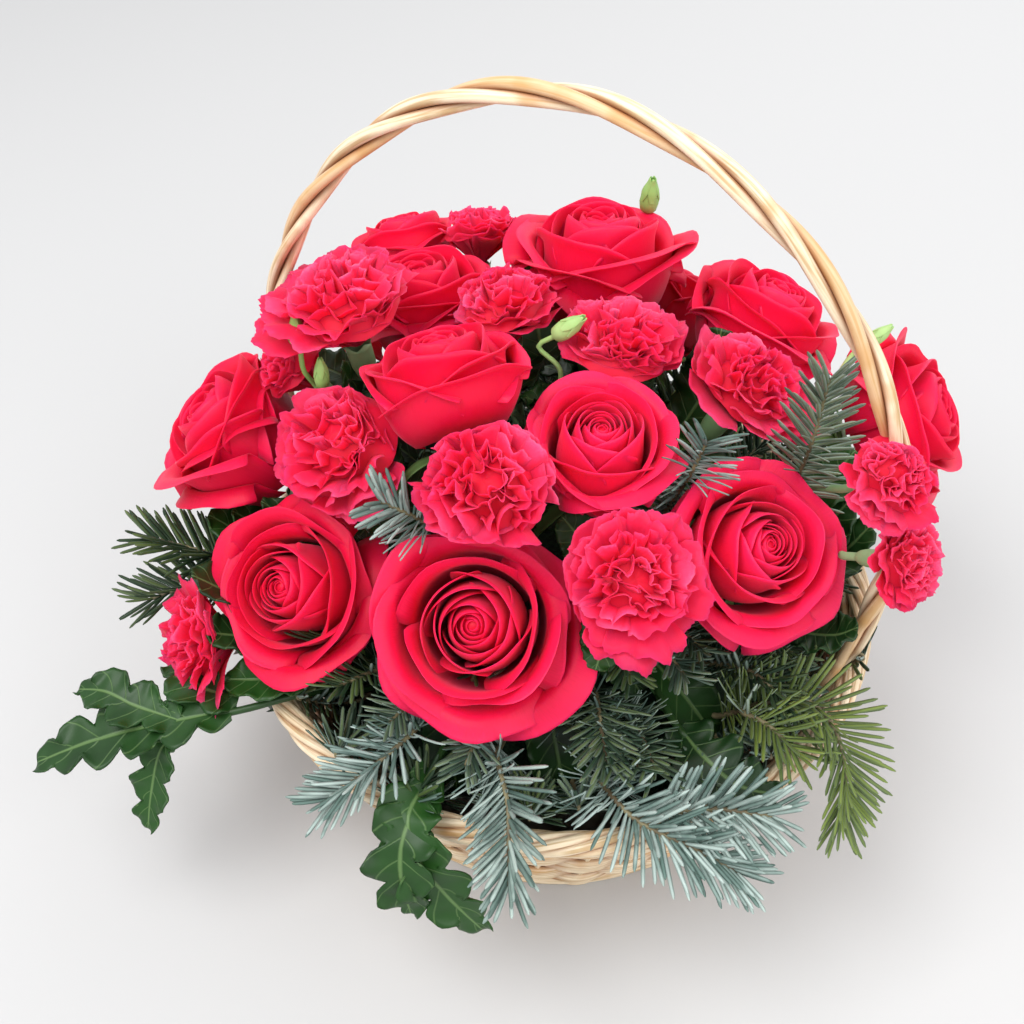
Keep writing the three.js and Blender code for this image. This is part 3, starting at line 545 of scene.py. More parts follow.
def roll_border():
    pile = Pile()
    turn = np.linspace(0, 2 * math.pi, 289)
    for k in range(STRANDS):
        angle = 2 * math.pi * k / STRANDS + WINDINGS * turn
        height = RIM["height"] + ORBIT * np.sin(angle) + 0.2 * np.sin(9 * turn + k)
        path = ring_path(RIM["radius"] + ORBIT * np.cos(angle), height, turn)
        thick = 1.9 + 0.1 * np.sin(7 * turn + 2 * k)
        rings = tube(path, thick, 9)
        # Painted shade: the strands are darkened on their sides near the core, between each other.
        outward = np.hypot(rings[..., 0], rings[..., 1]) - RIM["radius"]
        depth = np.hypot(outward, rings[..., 2] - RIM["height"])
        lay_rod(pile, path, thick, 9, BORDER_RODS + k, seam=1 - ease(depth, 3.4, 4.8))
    lay_rod(pile, ring_path(RIM["radius"], RIM["height"], turn), 1.8, 6, BORDER_CORE)
    for height, radius, thick in UNDER_BORDER:
        lay_rod(pile, ring_path(radius, height, turn), thick, 8, UNDER_RODS)
    return pile


piece("rolled_border", roll_border(), willow, "basket_rim", slot="willow")
print("border triangles:", triangles("rolled"))

# %% [markdown]
# ## The twisted handle
# Three thick rods run down inside the wall at both ends and wind round each other over the arch.
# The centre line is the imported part's own. Rods of one thickness that touch each other lie on a
# circle of 2/sqrt(3) of that half thickness, which is how the winding's radius is found.


# %% Wind the handle's rods
def arch_points():
    turn = np.radians(np.linspace(ARCH["first"], ARCH["last"], 21))
    z = ARCH["rise"] * np.sin(turn) ** ARCH["square"]
    x = ARCH["half_span"] * np.sign(np.cos(turn)) * np.abs(np.cos(turn)) ** ARCH["square"]
    top = np.stack([x, 0 * x, ARCH["spring"] + z], -1)
    foot = np.array([(x, 0, z) for x, z in ARCH["foot"]], float)
    return np.vstack([foot, top, (foot * [-1, 1, 1])[::-1]])


ARCH_ROUTE = arch_points()
ARCH_LINE = spline(ARCH_ROUTE, 121)


def handle_rod(number):
    wind = 2 * ROD["thick"] / math.sqrt(3)
    s = np.linspace(0, 1, 300)
    centre = spline(ARCH_ROUTE, 0, s)
    ahead = unit(np.gradient(centre, axis=0))
    across = np.array([0.0, 1.0, 0.0])
    outward = unit(np.cross(across, ahead))
    wound = np.clip((s - ROD["start"]) / (1 - 2 * ROD["start"]), 0, 1)
    angle = 2 * math.pi * (ROD["twists"] * wound + number / 3)
    # Near its feet the three rods leave the winding and stand side by side along the wall.
    foot = np.minimum(s, 1 - s)
    apart = ease(ROD["start"] - foot, 0, ROD["fan"])
    flat = ease(ROD["start"] - ROD["settle"] - foot, 0, ROD["flatten"])
    place = np.round(np.sin(angle) * 1.1) * ROD["spread"]
    swing = blend(wind * np.sin(angle), place, apart)
    rise = wind * np.cos(angle) * (1 - flat)
    path = centre + outward * rise[:, None] + across * swing[:, None]
    thick = ROD["thick"] + 0.12 * np.sin(31 * s + number * 2) + 0.06 * np.sin(83 * s + number)
    sides = 14
    cosine, sine = (part[None, :, None] for part in circle(sides))
    rings = path[:, None] + thick[:, None, None] * (cosine * across - sine * outward[:, None])
    # Painted shade: the rods are darkened where they lie against each other near the middle line.
    depth = np.linalg.norm(rings - centre[:, None], axis=2) / (wind + ROD["thick"])
    pile = Pile()
    pile.grids(rings, wrap=True, caps=True, seam=1 - ease(depth, 0.45, 0.85),
               **rod_notes(path, HANDLE_RODS + number, sides))
    return pile


for k in range(3):
    piece(f"twisted_rod_{k + 1}", handle_rod(k), willow, f"handle_rod_{k + 1}", slot="willow")
print("willow triangles:", triangles())

# %% [markdown]
# ## Each flower's share of the room
# In a tight bunch the heads press on each other. Two neighbours meet at a plane between them,
# nearer the smaller one. The planes are found from the heads' middles and radii alone, so they
# are there before any petal is grown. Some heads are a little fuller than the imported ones.

# %% Share the room between the flowers
WIDER = 1.14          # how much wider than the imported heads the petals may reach
DEEP = 0.45           # how far below its face a head's middle lies, in radii
HANDLE_ROOM = 6.5     # how far petals stay from the middle of the handle
FEET_ROOM = 9.3       # and of its feet, where the rods stand side by side
FULLER = {"rose_2": 1.08, "rose_4": 1.03, "rose_5": 1.06, "rose_6": 1.12, "rose_7": 1.04,
          "carnation_10": 1.12}
# These two keep their petals in front of the handle.
AHEAD = ("rose_6", "carnation_8")


def read_flower(row):
    bearing, tilt, reach, face_bearing, face_tilt, radius = row
    axis = polar(face_bearing, face_tilt)
    face = FOCUS + reach * polar(bearing, tilt)
    return dict(axis=axis, face=face, radius=radius, bearing=bearing, tilt=tilt,
                middle=face - DEEP * radius * axis, walls=[])


flowers = {name: read_flower(row) for name, row in {**ROSES, **CARNATIONS}.items()}
for name, fuller in FULLER.items():
    flowers[name]["radius"] *= fuller
for one in flowers.values():
    for other in flowers.values():
        between = other["middle"] - one["middle"]
        apart = np.linalg.norm(between)
        too_far = 1.3 * WIDER * (one["radius"] + other["radius"])
        if other is one or apart > too_far:
            continue
        share = apart / 2 + (one["radius"] ** 2 - other["radius"] ** 2) * WIDER**2 / (2 * apart)
        share = np.clip(share, 0.3 * apart, 0.7 * apart)
        one["walls"].append((between / apart, share))
for name in AHEAD:
    share = -HANDLE_ROOM - flowers[name]["middle"][1]
    flowers[name]["walls"].append((np.array([0.0, 1.0, 0.0]), share))
print("planes per flower:", round(np.mean([len(one["walls"]) for one in flowers.values()]), 1))

# %% [markdown]
# ## Petals that give way
# A petal that would cross a plane is first drawn in as a whole, so that it keeps its round
# outline. What still crosses is then bent back softly, as a petal is by its neighbour. The
# handle and the rim push petals away too.


# %% Fit a petal into its flower's room
FEET_HEIGHT = 130                  # below this the handle's rods stand side by side
OVER_RIM, RIM_CLEAR = 118, 98.0    # from this radius outward petals stay above this height
DRAWN_IN = np.arange(1.0, 0.5, -0.06)


def crossing(points, flower):
    """How far points lie beyond each of a flower's planes, in mm."""
    middle = flower["middle"]
    return np.array([(points - middle) @ normal - share for normal, share in flower["walls"]])


def bend_clear(points, flower, soft=5.0, margin=0.5):
    shape = points.shape
    points = points.reshape(-1, 3).copy()
    for normal, share in flower["walls"]:
        depth = (points - flower["middle"]) @ normal - share + margin
        eased = np.where(depth > -soft, -soft * np.exp(-(depth + soft) / soft), depth)
        points += (eased - depth)[:, None] * normal
    for _ in range(3):
        gaps = np.linalg.norm(points[:, None] - ARCH_LINE[None], axis=2)
        nearest = ARCH_LINE[gaps.argmin(1)]
        away = points - nearest
        reach = np.where(nearest[:, 2] < FEET_HEIGHT, FEET_ROOM, HANDLE_ROOM)
        close = np.linalg.norm(away, axis=1) < reach
        points[close] = (nearest + unit(away) * reach[:, None])[close]
        for normal, share in flower["walls"]:
            depth = (points - flower["middle"]) @ normal - share + margin
            points -= np.maximum(depth, 0)[:, None] * normal
    out = np.hypot(points[:, 0], points[:, 1]) > OVER_RIM
    points[out, 2] = np.maximum(points[out, 2], RIM_CLEAR)
    return points.reshape(shape)


def to_world(points, flower, spin):
    """Turns a head's own x, y, z (z along the face's axis) into the arrangement."""
    side = unit(np.cross(UP, flower["axis"]))
    other = np.cross(flower["axis"], side)
    c, s = math.cos(spin), math.sin(spin)
    basis = np.array([c * side + s * other, c * other - s * side, flower["axis"]])
    return flower["radius"] * (points * [WIDER, WIDER, 1]) @ basis + flower["face"]


def fitted(grow, flower, spin, allowed=2.5):
    """Grows a petal at its full reach, then less and less until its planes are hardly crossed."""
    for size in DRAWN_IN:
        grid = to_world(grow(size), flower, spin)
        over = crossing(grid.reshape(-1, 3), flower)
        if not len(over) or over.max() < allowed:
            break
    return bend_clear(grid, flower)


print("a petal can be drawn in to", round(DRAWN_IN[-1], 2), "of its reach")

# %% [markdown]
# ## Rose petals, the finish
# The velvety red is darkened deep in the flower, towards each petal's base, as painted shade,
# and it is lighter and pinker along the rolled lips as a painted highlight. Light goes into a
# petal and comes out redder, which subsurface scattering gives, and sheen gives the velvet.
# Every petal has a tone of its own, so that two that overlap can be told apart.

# %% The rose finish
rose_red = Finish("rose_petal", specular_ior_level=0.22, sheen_weight=0.22, sheen_roughness=0.45,
                  subsurface_weight=0.35, subsurface_scale=0.004)
rose_red.surface(subsurface_radius=(1.0, 0.10, 0.12), sheen_tint=(1.0, 0.25, 0.40, 1.0))
rise, across, tone = (rose_red.note(n) for n in ("rise", "across", "tone"))
veins = rose_red.noise(26.0, rose_red.vector(across * 3.0, rise * 0.35, tone * 7.0), 3.0)
mottle = rose_red.noise(60.0, detail=2.0)
face_red = rose_red.mix((0.74, 0.001, 0.036), (0.88, 0.009, 0.075), tone)
# Painted shade: the red darkens towards the base of each petal, deep in the flower.
shaded_depth_red = rose_red.mix((0.46, 0.0, 0.016), face_red, rise.within(0.15, 0.7))
# Painted highlight: the lips turn lighter and pinker, more so on the pinker roses.
lip_highlight_share = rise.within(0.78, 1.0) * (0.15 + 0.5 * tone)
lip_highlight_red = rose_red.mix(shaded_depth_red, (0.92, 0.016, 0.11), lip_highlight_share)
vein_share = (veins * 0.6 + mottle * 0.4).within(0.45, 0.75) * 0.22
petal_red = rose_red.mix(lip_highlight_red, (0.52, 0.0, 0.020), vein_share)
rose_red.surface(base_color=petal_red, roughness=0.42 + 0.16 * mottle)
rose_red.relief(veins, 0.35, 0.3)
print("rose finish has", len(rose_red.tree.nodes), "nodes")

# %% [markdown]
# ## Rose petals, the shape
# A florist's rose has a tight heart whose petals wrap round each other, then a bowl of upright
# petals, then broad ones that lie almost flat, with lips that roll outward. A petal leaves the
# hip low down, bulges, and only then turns up or out, so its side view is a cubic curve that is
# turned round the flower's axis. Six dice per petal keep any two from being the same.

# %% Shape one rose petal
# From the heart outward, as shares of the open radius: petals, reach and height of the lips,
# half the angle that a petal spans, how far it opens, how far its lip rolls out and down, how
# much it winds like a spiral, and how much lower its two sides are than the middle of its lip.
WHORLS = [
    (2, 0.04, -0.09, 150, 0.00, 0.00, 0.00, 0.30, 0.04),
    (2, 0.08, -0.05, 125, 0.00, 0.01, 0.00, 0.24, 0.08),
    (3, 0.12, -0.02, 100, 0.00, 0.02, 0.00, 0.18, 0.12),
    (3, 0.17, 0.00, 92, 0.00, 0.02, 0.01, 0.14, 0.15),
    (3, 0.23, 0.02, 86, 0.04, 0.03, 0.02, 0.11, 0.18),
    (3, 0.30, 0.03, 82, 0.10, 0.05, 0.03, 0.09, 0.20),
    (3, 0.38, 0.04, 78, 0.22, 0.07, 0.06, 0.07, 0.22),
    (3, 0.57, 0.00, 78, 0.55, 0.11, 0.10, 0.05, 0.20),
    (3, 0.79, -0.08, 73, 0.85, 0.15, 0.15, 0.04, 0.20),
    (3, 0.98, -0.20, 68, 1.00, 0.18, 0.20, 0.03, 0.22),
    (3, 1.10, -0.38, 62, 1.12, 0.20, 0.28, 0.03, 0.24),
]
ROSE_RISE = np.linspace(0, 1, 14)[:, None] ** 0.75    # from the hip to the lip, closer at the lip
ROSE_ACROSS = np.linspace(-1, 1, 19)[None, :]         # from one side of a petal to the other


def cubic(a, b, c, d, s):
    return (1 - s) ** 3 * a + 3 * s * (1 - s) ** 2 * b + 3 * s**2 * (1 - s) * c + s**3 * d


def rose_petal(whorl, turn, size, dice, openness):
    """One petal's grid, in radii, in its head's own frame with z along the face's axis."""
    _, reach, lip, half, opens, roll_out, roll_down, swirl, drop = whorl
    v, u = ROSE_RISE, ROSE_ACROSS
    opens = opens * openness
    if reach > 0.45:
        reach = reach * blend(0.82, 1.0, openness) * size
        lip = lip + 0.35 * (1 - size) + 0.12 * (1 - openness)
    reach = reach * (1 + blend(0.04, 0.08, min(1, opens)) * dice[0])
    lip = lip + blend(0.015, 0.045, min(1, opens)) * dice[1]
    # The side view starts at the hip, bulges and ends at the lip.
    soft_point = 0.03 * opens * np.exp(-(((u - 0.15 * dice[2]) / 0.34) ** 2))
    s = blend(0.30, 1.0, v) * (1 - drop * np.abs(u) ** 2.6 + soft_point)
    closed = 1 - min(1.0, opens)
    belly = blend(0.62 * reach + 0.10, reach + 0.12, closed)
    shoulder = blend(0.60 * reach + 0.06, reach + 0.09, closed)
    r = cubic(0.12, belly + 0.10, shoulder, reach - roll_out, s)
    z = cubic(-ROSE_DEPTH, -1.18, blend(lip - 0.16, -0.30, closed), lip, s)
    # The lip rolls out and down, most at its sides, and waves where the petal is open.
    side = ease(np.abs(u), 0.45, 1.0)
    curl = ease(v, 0.50, 1.0) ** 1.6 * (1 + 0.25 * dice[2]) * (0.8 + 0.35 * side)
    ripple = np.sin(u * (3.5 + dice[3]) + 3 * dice[4]) + 0.4 * np.sin(u * 8 + 5 * dice[3])
    wave = 0.032 * opens * ripple * v**2
    r = (r + roll_out * curl + wave) * (1 + swirl * u)
    z = z - roll_down * curl**1.3 + 1.3 * wave + 0.07 * opens * dice[5] * u * v
    angle = turn + math.radians(half) * u * (1 - 0.10 * v**4)
    return np.stack([r * np.cos(angle), r * np.sin(angle), z + 0 * angle], -1)


print("petals in a rose:", sum(whorl[0] for whorl in WHORLS))

# %% [markdown]
# ## Whole roses
# The whorls are laid from the heart outward, each turned on by half the golden angle, so that
# petals cover the joints below them. A small dome lies under the middle petals, because a real
# heart is full, and no hole may show there. The heads' grids are also kept, as something that
# needles and leaves must stay clear of later.

# %% Grow the roses
GOLDEN = math.radians(137.5)
HEADS = Pile()
# How far the looser roses have opened, and how pink each one's petals are
OPENNESS = {"rose_5": 0.6, "rose_8": 0.8, "rose_10": 0.75, "rose_11": 0.7, "rose_12": 0.7}
PINK = {"rose_1": 0.45, "rose_2": 0.2, "rose_3": 0.8, "rose_4": 0.8, "rose_7": 0.3, "rose_9": 0.4}


def filling(pile, flower, reach, top, fall, crumple):
    """A small crumpled dome under a head's middle petals, so that no hole shows between them."""
    out = np.linspace(reach, 0.0, 9)[:, None]
    turn = np.linspace(0, 2 * math.pi, 36, endpoint=False)[None, :]
    waves = np.sin(5 * turn + 12 * out) + 0.6 * np.sin(9 * turn - 16 * out)
    height = top - fall * (out / reach) ** 2 + crumple * waves * out / reach
    dome = np.stack([out * np.cos(turn), out * np.sin(turn), height], -1)
    pile.grids(to_world(dome, flower, 0.0)[None], wrap=True, rise=0.45, across=0.0, tone=0.3)


def rose_head(name, flower, number):
    rng = np.random.default_rng(100 + number)
    spin = math.radians(number * 47)
    openness, pink = OPENNESS.get(name, 1.0), PINK.get(name, 0.25)
    pile = Pile()
    filling(pile, flower, 0.24, -0.13, 0.25, 0.0)
    turn = 0.0
    for whorl in WHORLS:
        for _ in range(whorl[0]):
            dice = rng.uniform(-1, 1, 6)
            way = turn + rng.normal(0, 0.16)
            grid = fitted(lambda size: rose_petal(whorl, way, size, dice, openness), flower, spin)
            pile.sheet(grid, 0.5, rise=blend(0.25, 1.0, ROSE_RISE), across=ROSE_ACROSS,
                       tone=pink + rng.uniform(-0.2, 0.2))
            HEADS.grids(grid[None])
            turn += 2 * math.pi / whorl[0]
        turn += GOLDEN / 2
    return piece(f"{name}_bloom", pile, rose_red, name, slot="rose_petals")


for k, name in enumerate(ROSES):
    rose_head(name, flowers[name], k)
print("rose triangles:", triangles("rose"))

# %% [markdown]
# ## Carnation petals, the finish
# A carnation's red is lighter and pinker than a rose's, and it has less velvet, because its
# petals are thin and dull. The red darkens towards the claws, deep in the flower, as painted
# shade. A blush of bright pink comes and goes along the lips, partly the petals' own colour and
# partly a painted highlight.

# %% The carnation finish
carnation_red = Finish("carnation_petal", specular_ior_level=0.2, sheen_weight=0.15,
                       sheen_roughness=0.5, subsurface_weight=0.5, subsurface_scale=0.005)
carnation_red.surface(subsurface_radius=(1.0, 0.14, 0.16), sheen_tint=(1.0, 0.35, 0.45, 1.0))
rise, across, tone = (carnation_red.note(n) for n in ("rise", "across", "tone"))
veins = carnation_red.noise(30.0, carnation_red.vector(across * 4.0, rise * 0.4, tone * 9.0), 3.0)
blush_and_highlight = carnation_red.noise(45.0, detail=1.0)
# Painted shade: the red darkens towards the claws, deep in the flower.
deep = carnation_red.mix((0.62, 0.003, 0.032), (0.80, 0.010, 0.066), rise.within(0.3, 0.8))
# Partly the petals' own blush and partly a painted highlight: bright pink patches along the lips.
blush_and_highlight_share = blush_and_highlight.within(0.42, 0.68) * rise.within(0.5, 1.0) * (0.4 + 0.6 * tone)
bright = carnation_red.mix(deep, (0.99, 0.055, 0.17), blush_and_highlight_share)
veined = carnation_red.mix(bright, (0.66, 0.004, 0.036), veins.within(0.5, 0.75) * 0.25)
carnation_red.surface(base_color=veined, roughness=0.5 + 0.15 * veins)
carnation_red.relief(veins, 0.4, 0.35)
print("carnation finish has", len(carnation_red.tree.nodes), "nodes")

# %% [markdown]
# ## Carnation petals, the shape
# A carnation is a crumpled dome of fan-shaped petals with finely toothed lips, on claws that
# rise from a long green calyx. The outer petals are broad and gently waved, and the ones in the
# middle are folded tightly. The side view is a quadratic curve, and the ruffle is added square
# to it, so that a fold keeps its depth where the petal turns over.

# %% Shape one carnation petal
# From outside in, as shares of the radius: reach and height of the lips, petals, half the width
# of a petal, how many waves it has, how deep they are, and how far a petal may be turned askew.
LAYERS = [
    (1.04, -0.20, 5, 0.68, 1.2, 0.050, 0.12),
    (0.92, 0.00, 5, 0.64, 1.5, 0.070, 0.22),
    (0.75, 0.16, 6, 0.52, 1.6, 0.085, 0.38),
    (0.56, 0.27, 6, 0.42, 1.7, 0.100, 0.60),
    (0.37, 0.34, 5, 0.34, 1.7, 0.105, 0.90),
    (0.19, 0.38, 4, 0.28, 1.7, 0.100, 1.30),
]
TEETH = 35                                     # points across a petal, every second one a notch
FAN_RISE = np.linspace(0, 1, 9)[:, None]       # from the claw to the lip
FAN_ACROSS = np.linspace(-1, 1, TEETH)[None, :]


def carnation_petal(layer, turn, size, dice, saw):
    out, up, _, half, waves, fold, askew = layer
    v, u = FAN_RISE, FAN_ACROSS
    lobes = 0.045 * np.sin(u * 5 + 3 * dice[0]) + 0.03 * np.sin(u * 12 + 5 * dice[1])
    s = v * (1.03 - 0.20 * np.abs(u) ** 2.6 - saw[None, :] - lobes)
    broad = out > 0.5
    up = up + 0.07 * dice[1] + 0.25 * (1 - size) * broad
    out = out * (1 + 0.12 * dice[2]) * (size if broad else 1)
    # The side view and its slope
    p0, p1, p2 = (0.07, -0.78), (0.12 + 0.34 * out, 0.6 * up - 0.12), (out, up)
    r = (1 - s) ** 2 * p0[0] + 2 * s * (1 - s) * p1[0] + s**2 * p2[0]
    z = (1 - s) ** 2 * p0[1] + 2 * s * (1 - s) * p1[1] + s**2 * p2[1]
    dr = 2 * (1 - s) * (p1[0] - p0[0]) + 2 * s * (p2[0] - p1[0])
    dz = 2 * (1 - s) * (p1[1] - p0[1]) + 2 * s * (p2[1] - p1[1])
    steep = np.hypot(dr, dz)
    # The ruffle, square to the side view
    waves = math.pi * waves * (1 + 0.25 * dice[3])
    depth = fold * (1 + 0.35 * dice[4]) * s**1.6
    phase = 3 * dice[5]
    ruffle = depth * (np.sin(waves * u + phase) + 0.4 * s**2 * np.sin(2.7 * waves * u + 2 * phase))
    r, z = r - dz / steep * ruffle, z + dr / steep * ruffle
    # The fan's width, and the petal's turn about its own claw
    side = u * blend(0.05, half, s**0.85) - 0.4 * depth * np.cos(waves * u * 2 + phase)
    r = r - 0.35 * side**2 * blend(1.0, 0.2, min(1.0, out))
    skew = askew * dice[6] * s
    r, side = r - np.sin(skew) * side, np.cos(skew) * side
    c, d = math.cos(turn), math.sin(turn)
    return np.stack([r * c - side * d, r * d + side * c, z], -1)


print("petals in a carnation:", sum(layer[2] for layer in LAYERS))

# %% [markdown]
# ## Whole carnations
# The layers are laid from outside in over a crumpled dome. Petals of a carnation crowd more
# than a rose's, so they may cross their planes a little further before they are drawn in.


# %% Grow the carnations
def carnation_head(name, flower, number):
    rng = np.random.default_rng(200 + number)
    spin = math.radians(number * 61)
    pile = Pile()
    filling(pile, flower, 0.66, 0.20, 0.42, 0.03)
    for inward, layer in enumerate(LAYERS):
        for k in range(layer[2]):
            turn = 2 * math.pi * (k + 0.41 * inward) / layer[2] + rng.normal(0, 0.2)
            dice = rng.uniform(-1, 1, 7)
            saw = (np.arange(TEETH) % 2) * rng.uniform(0.005, 0.024, TEETH)
            grid = fitted(lambda size: carnation_petal(layer, turn, size, dice, saw),
                          flower, spin, allowed=3.0)
            pile.sheet(grid, 0.35, rise=FAN_RISE, across=FAN_ACROSS, tone=rng.uniform(0, 1))
            HEADS.grids(grid[None])
    return piece(f"{name}_bloom", pile, carnation_red, name, slot="carnation_petals")


for k, name in enumerate(CARNATIONS):
    carnation_head(name, flowers[name], k)
print("carnation triangles:", triangles("carnation"))

# %% [markdown]
# ## Greens
# Stems, hips and calyces are young green with darker flecks. A rose's green is yellower, and a
# carnation's has a grey bloom. One function makes all of them from a young and an old green.


# %% The green finishes
def green_finish(name, young, old):
    made = Finish(name, specular_ior_level=0.35)
    flecks = made.noise(90.0, detail=3.0)
    clouds = made.noise(14.0, detail=2.0)
    age = (flecks * 0.4 + clouds * 0.6).within(0.35, 0.65)
    made.surface(base_color=made.mix(young, old, age), roughness=0.42 + 0.2 * flecks)
    made.relief(flecks, 0.2, 0.4)
    return made


rose_green = green_finish("rose_green", (0.20, 0.30, 0.09), (0.09, 0.19, 0.05))
carnation_green = green_finish("carnation_green", (0.30, 0.42, 0.22), (0.16, 0.29, 0.13))
print("a green has", len(rose_green.tree.nodes), "nodes")

# %% [markdown]
# ## Feet in the foam
# All stems go straight into the foam toward the focus, which is how they hold. The foam's top is
# a dome, so how far out it lies depends on the tilt. Hips, calyces and buds are turned forms,
# and sepals and small leaves are narrow blades folded along their rib.


# %% Feet, turned forms and narrow leaves
def foam_top(tilt):
    """How far from the focus the foam ends, in a direction with this tilt."""
    t = math.radians(tilt)
    return 1 / math.hypot(math.sin(t) / FOAM["radius"], math.cos(t) / FOAM["dome"])


def footing(bearing, tilt):
    """The straight end of a stem, from the bottom of its hole to just above the foam."""
    steps = (-STEM["depth"], -STEM["depth"] / 2, 0, STEM["proud"])
    return [FOCUS + polar(bearing, tilt) * (foam_top(tilt) + step) for step in steps]


def ring_about(axis, hint):
    """Two directions square to an axis and to each other. The first is square to the hint too."""
    side = unit(np.cross(axis, hint))
    return side, np.cross(axis, side)


def cup(pile, base, axis, profile, sides=20):
    """A turned form: profile gives (height, radius) pairs along the axis from a base point."""
    side, other = ring_about(axis, [0.31, 0.17, 0.4])
    cosine, sine = (part[:, None] for part in circle(sides))
    ring = cosine * side + sine * other
    pile.grids(np.array([base + axis * h + ring * r for h, r in profile])[None], wrap=True)


def pointed_leaf(pile, route, half, thick, up, cupped=0.25):
    """A narrow leaf along a route, widest a third of the way up and folded along its rib."""
    path = spline(route, 13)
    ahead = carried(path)[0]
    across = unit(np.cross(ahead, up))
    raised = np.cross(across, ahead)
    s = np.linspace(0, 1, 13)
    width = half * np.sin(math.pi * np.clip(s, 0.06, 0.99) ** 0.75) ** 0.8 + 0.15
    u = np.linspace(-1, 1, 7)
    sideways = across[:, None] * (width[:, None] * u)[..., None]
    upward = raised[:, None] * (cupped * width[:, None] * u**2)[..., None]
    pile.sheet(path[:, None] + sideways + upward, thick)


print("with tilt 42 the foam ends", round(foam_top(42)), "mm from the focus")

# %% [markdown]
# ## Rose stems
# A rose's petals sit on a green hip with five narrow sepals that have turned down below them.

# %% Grow the rose stems
# The hip's side view, from its neck to its mouth: height and radius
HIP = [(-10, 2.2), (-9, 2.5), (-7.4, 4.0), (-5, 5.6), (-2.6, 6.2), (-0.8, 7.4), (-0.2, 9.0),
       (-0.6, 4.0)]


def rose_stem(name, flower, number):
    rng = np.random.default_rng(300 + number)
    axis = flower["axis"]
    hip = flower["face"] - axis * (ROSE_DEPTH * flower["radius"] + GAP)
    pile = Pile()
    route = [*footing(flower["bearing"], flower["tilt"]), hip - axis * 20, hip - axis * 9]
    thick = STEM["rose"] * (1 + 0.03 * np.sin(np.arange(24)))
    pile.grids(tube(spline(route, 24), thick, 12)[None], wrap=True, caps=True)
    cup(pile, hip, axis, HIP)
    side, other = ring_about(axis, [0.2, 0.5, 0.1])
    for k in range(5):
        turn = 2 * math.pi * k / 5 + rng.normal(0, 0.15)
        away = math.cos(turn) * side + math.sin(turn) * other
        droop = rng.uniform(0.3, 1.1)
        sepal = [hip - axis * 1.8 + away * 5, hip - axis * 1.5 + away * 13,
                 hip - axis * (2 + 6 * droop) + away * 21,
                 hip - axis * (4 + 15 * droop) + away * 27]
        pointed_leaf(pile, sepal, rng.uniform(2.6, 3.6), 0.6, axis)
    return piece(f"{name}_green", pile, rose_green, name, slot="rose_green")


for k, name in enumerate(ROSES):
    rose_stem(name.replace("rose", "rose_stem"), flowers[name], k)
print("rose stem triangles:", triangles("rose_stem"))

# %% [markdown]
# ## Spray stems and calyces
# A spray carnation's stem branches, and each branch ends in a long toothed calyx that holds the
# claws of the petals. Two narrow leaves stand at a node on each branch.

# %% Grow the spray stems
# The calyx's side view, from its neck to its mouth: height and radius
CALYX = [(-18, 1.5), (-16.5, 2.6), (-14, 4.0), (-10, 4.9), (-5, 5.1), (-1.2, 5.2), (0.3, 5.7)]


def calyx(pile, top, axis, scale):
    """A tube with five pointed teeth round its mouth, closed below."""
    side, other = ring_about(axis, [0.31, 0.17, 0.4])
    cosine, sine = (part[:, None] for part in circle(30))
    ring = cosine * side + sine * other
    share = np.arange(30)[:, None] / 30
    tooth = 2.2 * scale * np.abs((share * 5 % 1) * 2 - 1)
    rows = [top + axis * h * scale + ring * r * scale for h, r in CALYX]
    rows[-1] = rows[-1] + axis * tooth
    rows.append(top + axis * -1.5 * scale + ring * 4.2 * scale)
    pile.grids(np.array(rows)[None], wrap=True)


def spray_stem(name, bearing, tilt, heads, number):
    rng = np.random.default_rng(400 + number)
    pile = Pile()
    foot = footing(bearing, tilt)
    fork = foot[3] + 8 * polar(bearing, tilt)
    pile.grids(tube(spline([*foot, fork], 14), 1.8, 10)[None], wrap=True, caps=True)
    for head in heads:
        flower = flowers[f"carnation_{head}"]
        scale, axis = min(1, flower["radius"] / 22), flower["axis"]
        top = flower["face"] - axis * (CARNATION_DEPTH * flower["radius"] + GAP)
        route = spline([foot[3], fork, top - axis * 28 * scale, top - axis * 17 * scale], 24)
        pile.grids(tube(route, STEM["carnation"], 9)[None], wrap=True)
        calyx(pile, top, axis, scale)
        node = route[13]
        ahead = unit(route[14] - route[12])
        for side in (-1, 1):
            away = unit(np.cross(ahead, [0.2, 0.1, 1.0])) * side
            length = rng.uniform(22, 32)
            blade = [node, node + ahead * 0.35 * length + away * 4,
                     node + ahead * 0.7 * length + away * 10,
                     node + ahead * 0.9 * length + away * 17]
            pointed_leaf(pile, blade, 1.7, 0.5, np.cross(ahead, away))
    return piece(f"{name}_green", pile, carnation_green, name, slot="carnation_green")


for k, (name, (bearing, tilt, heads)) in enumerate(SPRAYS.items()):
    spray_stem(name, bearing, tilt, heads, k)
print("green triangles:", triangles(end="_green"))

# %% [markdown]
# ## Unopened buds
# Spray carnations carry a few buds that stay shut: a pointed calyx on a thin stalk of its own,
# with five scales pressed to it. The buds peep out between the open heads.

# %% Put in the buds
# where a bud's base stands, the way it points, its length, and the point its stalk comes from
BUDS = [
    ((-11, 115, 205), (0.1, -0.1, 1), 17, (-12, 105, 170)),
    ((-9, 9, 213), (0.75, 0.15, 0.75), 15, (-8, 10, 178)),
    ((-94, -34, 208), (-0.1, 0.1, 1), 15, (-86, -30, 165)),
    ((-84, -37, 196), (-0.1, 0.2, 1), 12, (-78, -32, 155)),
    ((96, 82, 192), (0.6, 0.2, 0.8), 12, (74, 64, 150)),
]
# A bud's neck in mm, and its side view as shares of its length and of its girth
NECK = [(-1, 1.0), (0, 1.0)]
BUD = [(0.12, 0.85), (0.35, 1.0), (0.6, 0.85), (0.82, 0.5), (0.95, 0.22), (1.03, 0.06)]
SCALE = [(0.45, 0.97), (0.7, 0.75), (0.9, 0.42), (1.08, 0.30)]


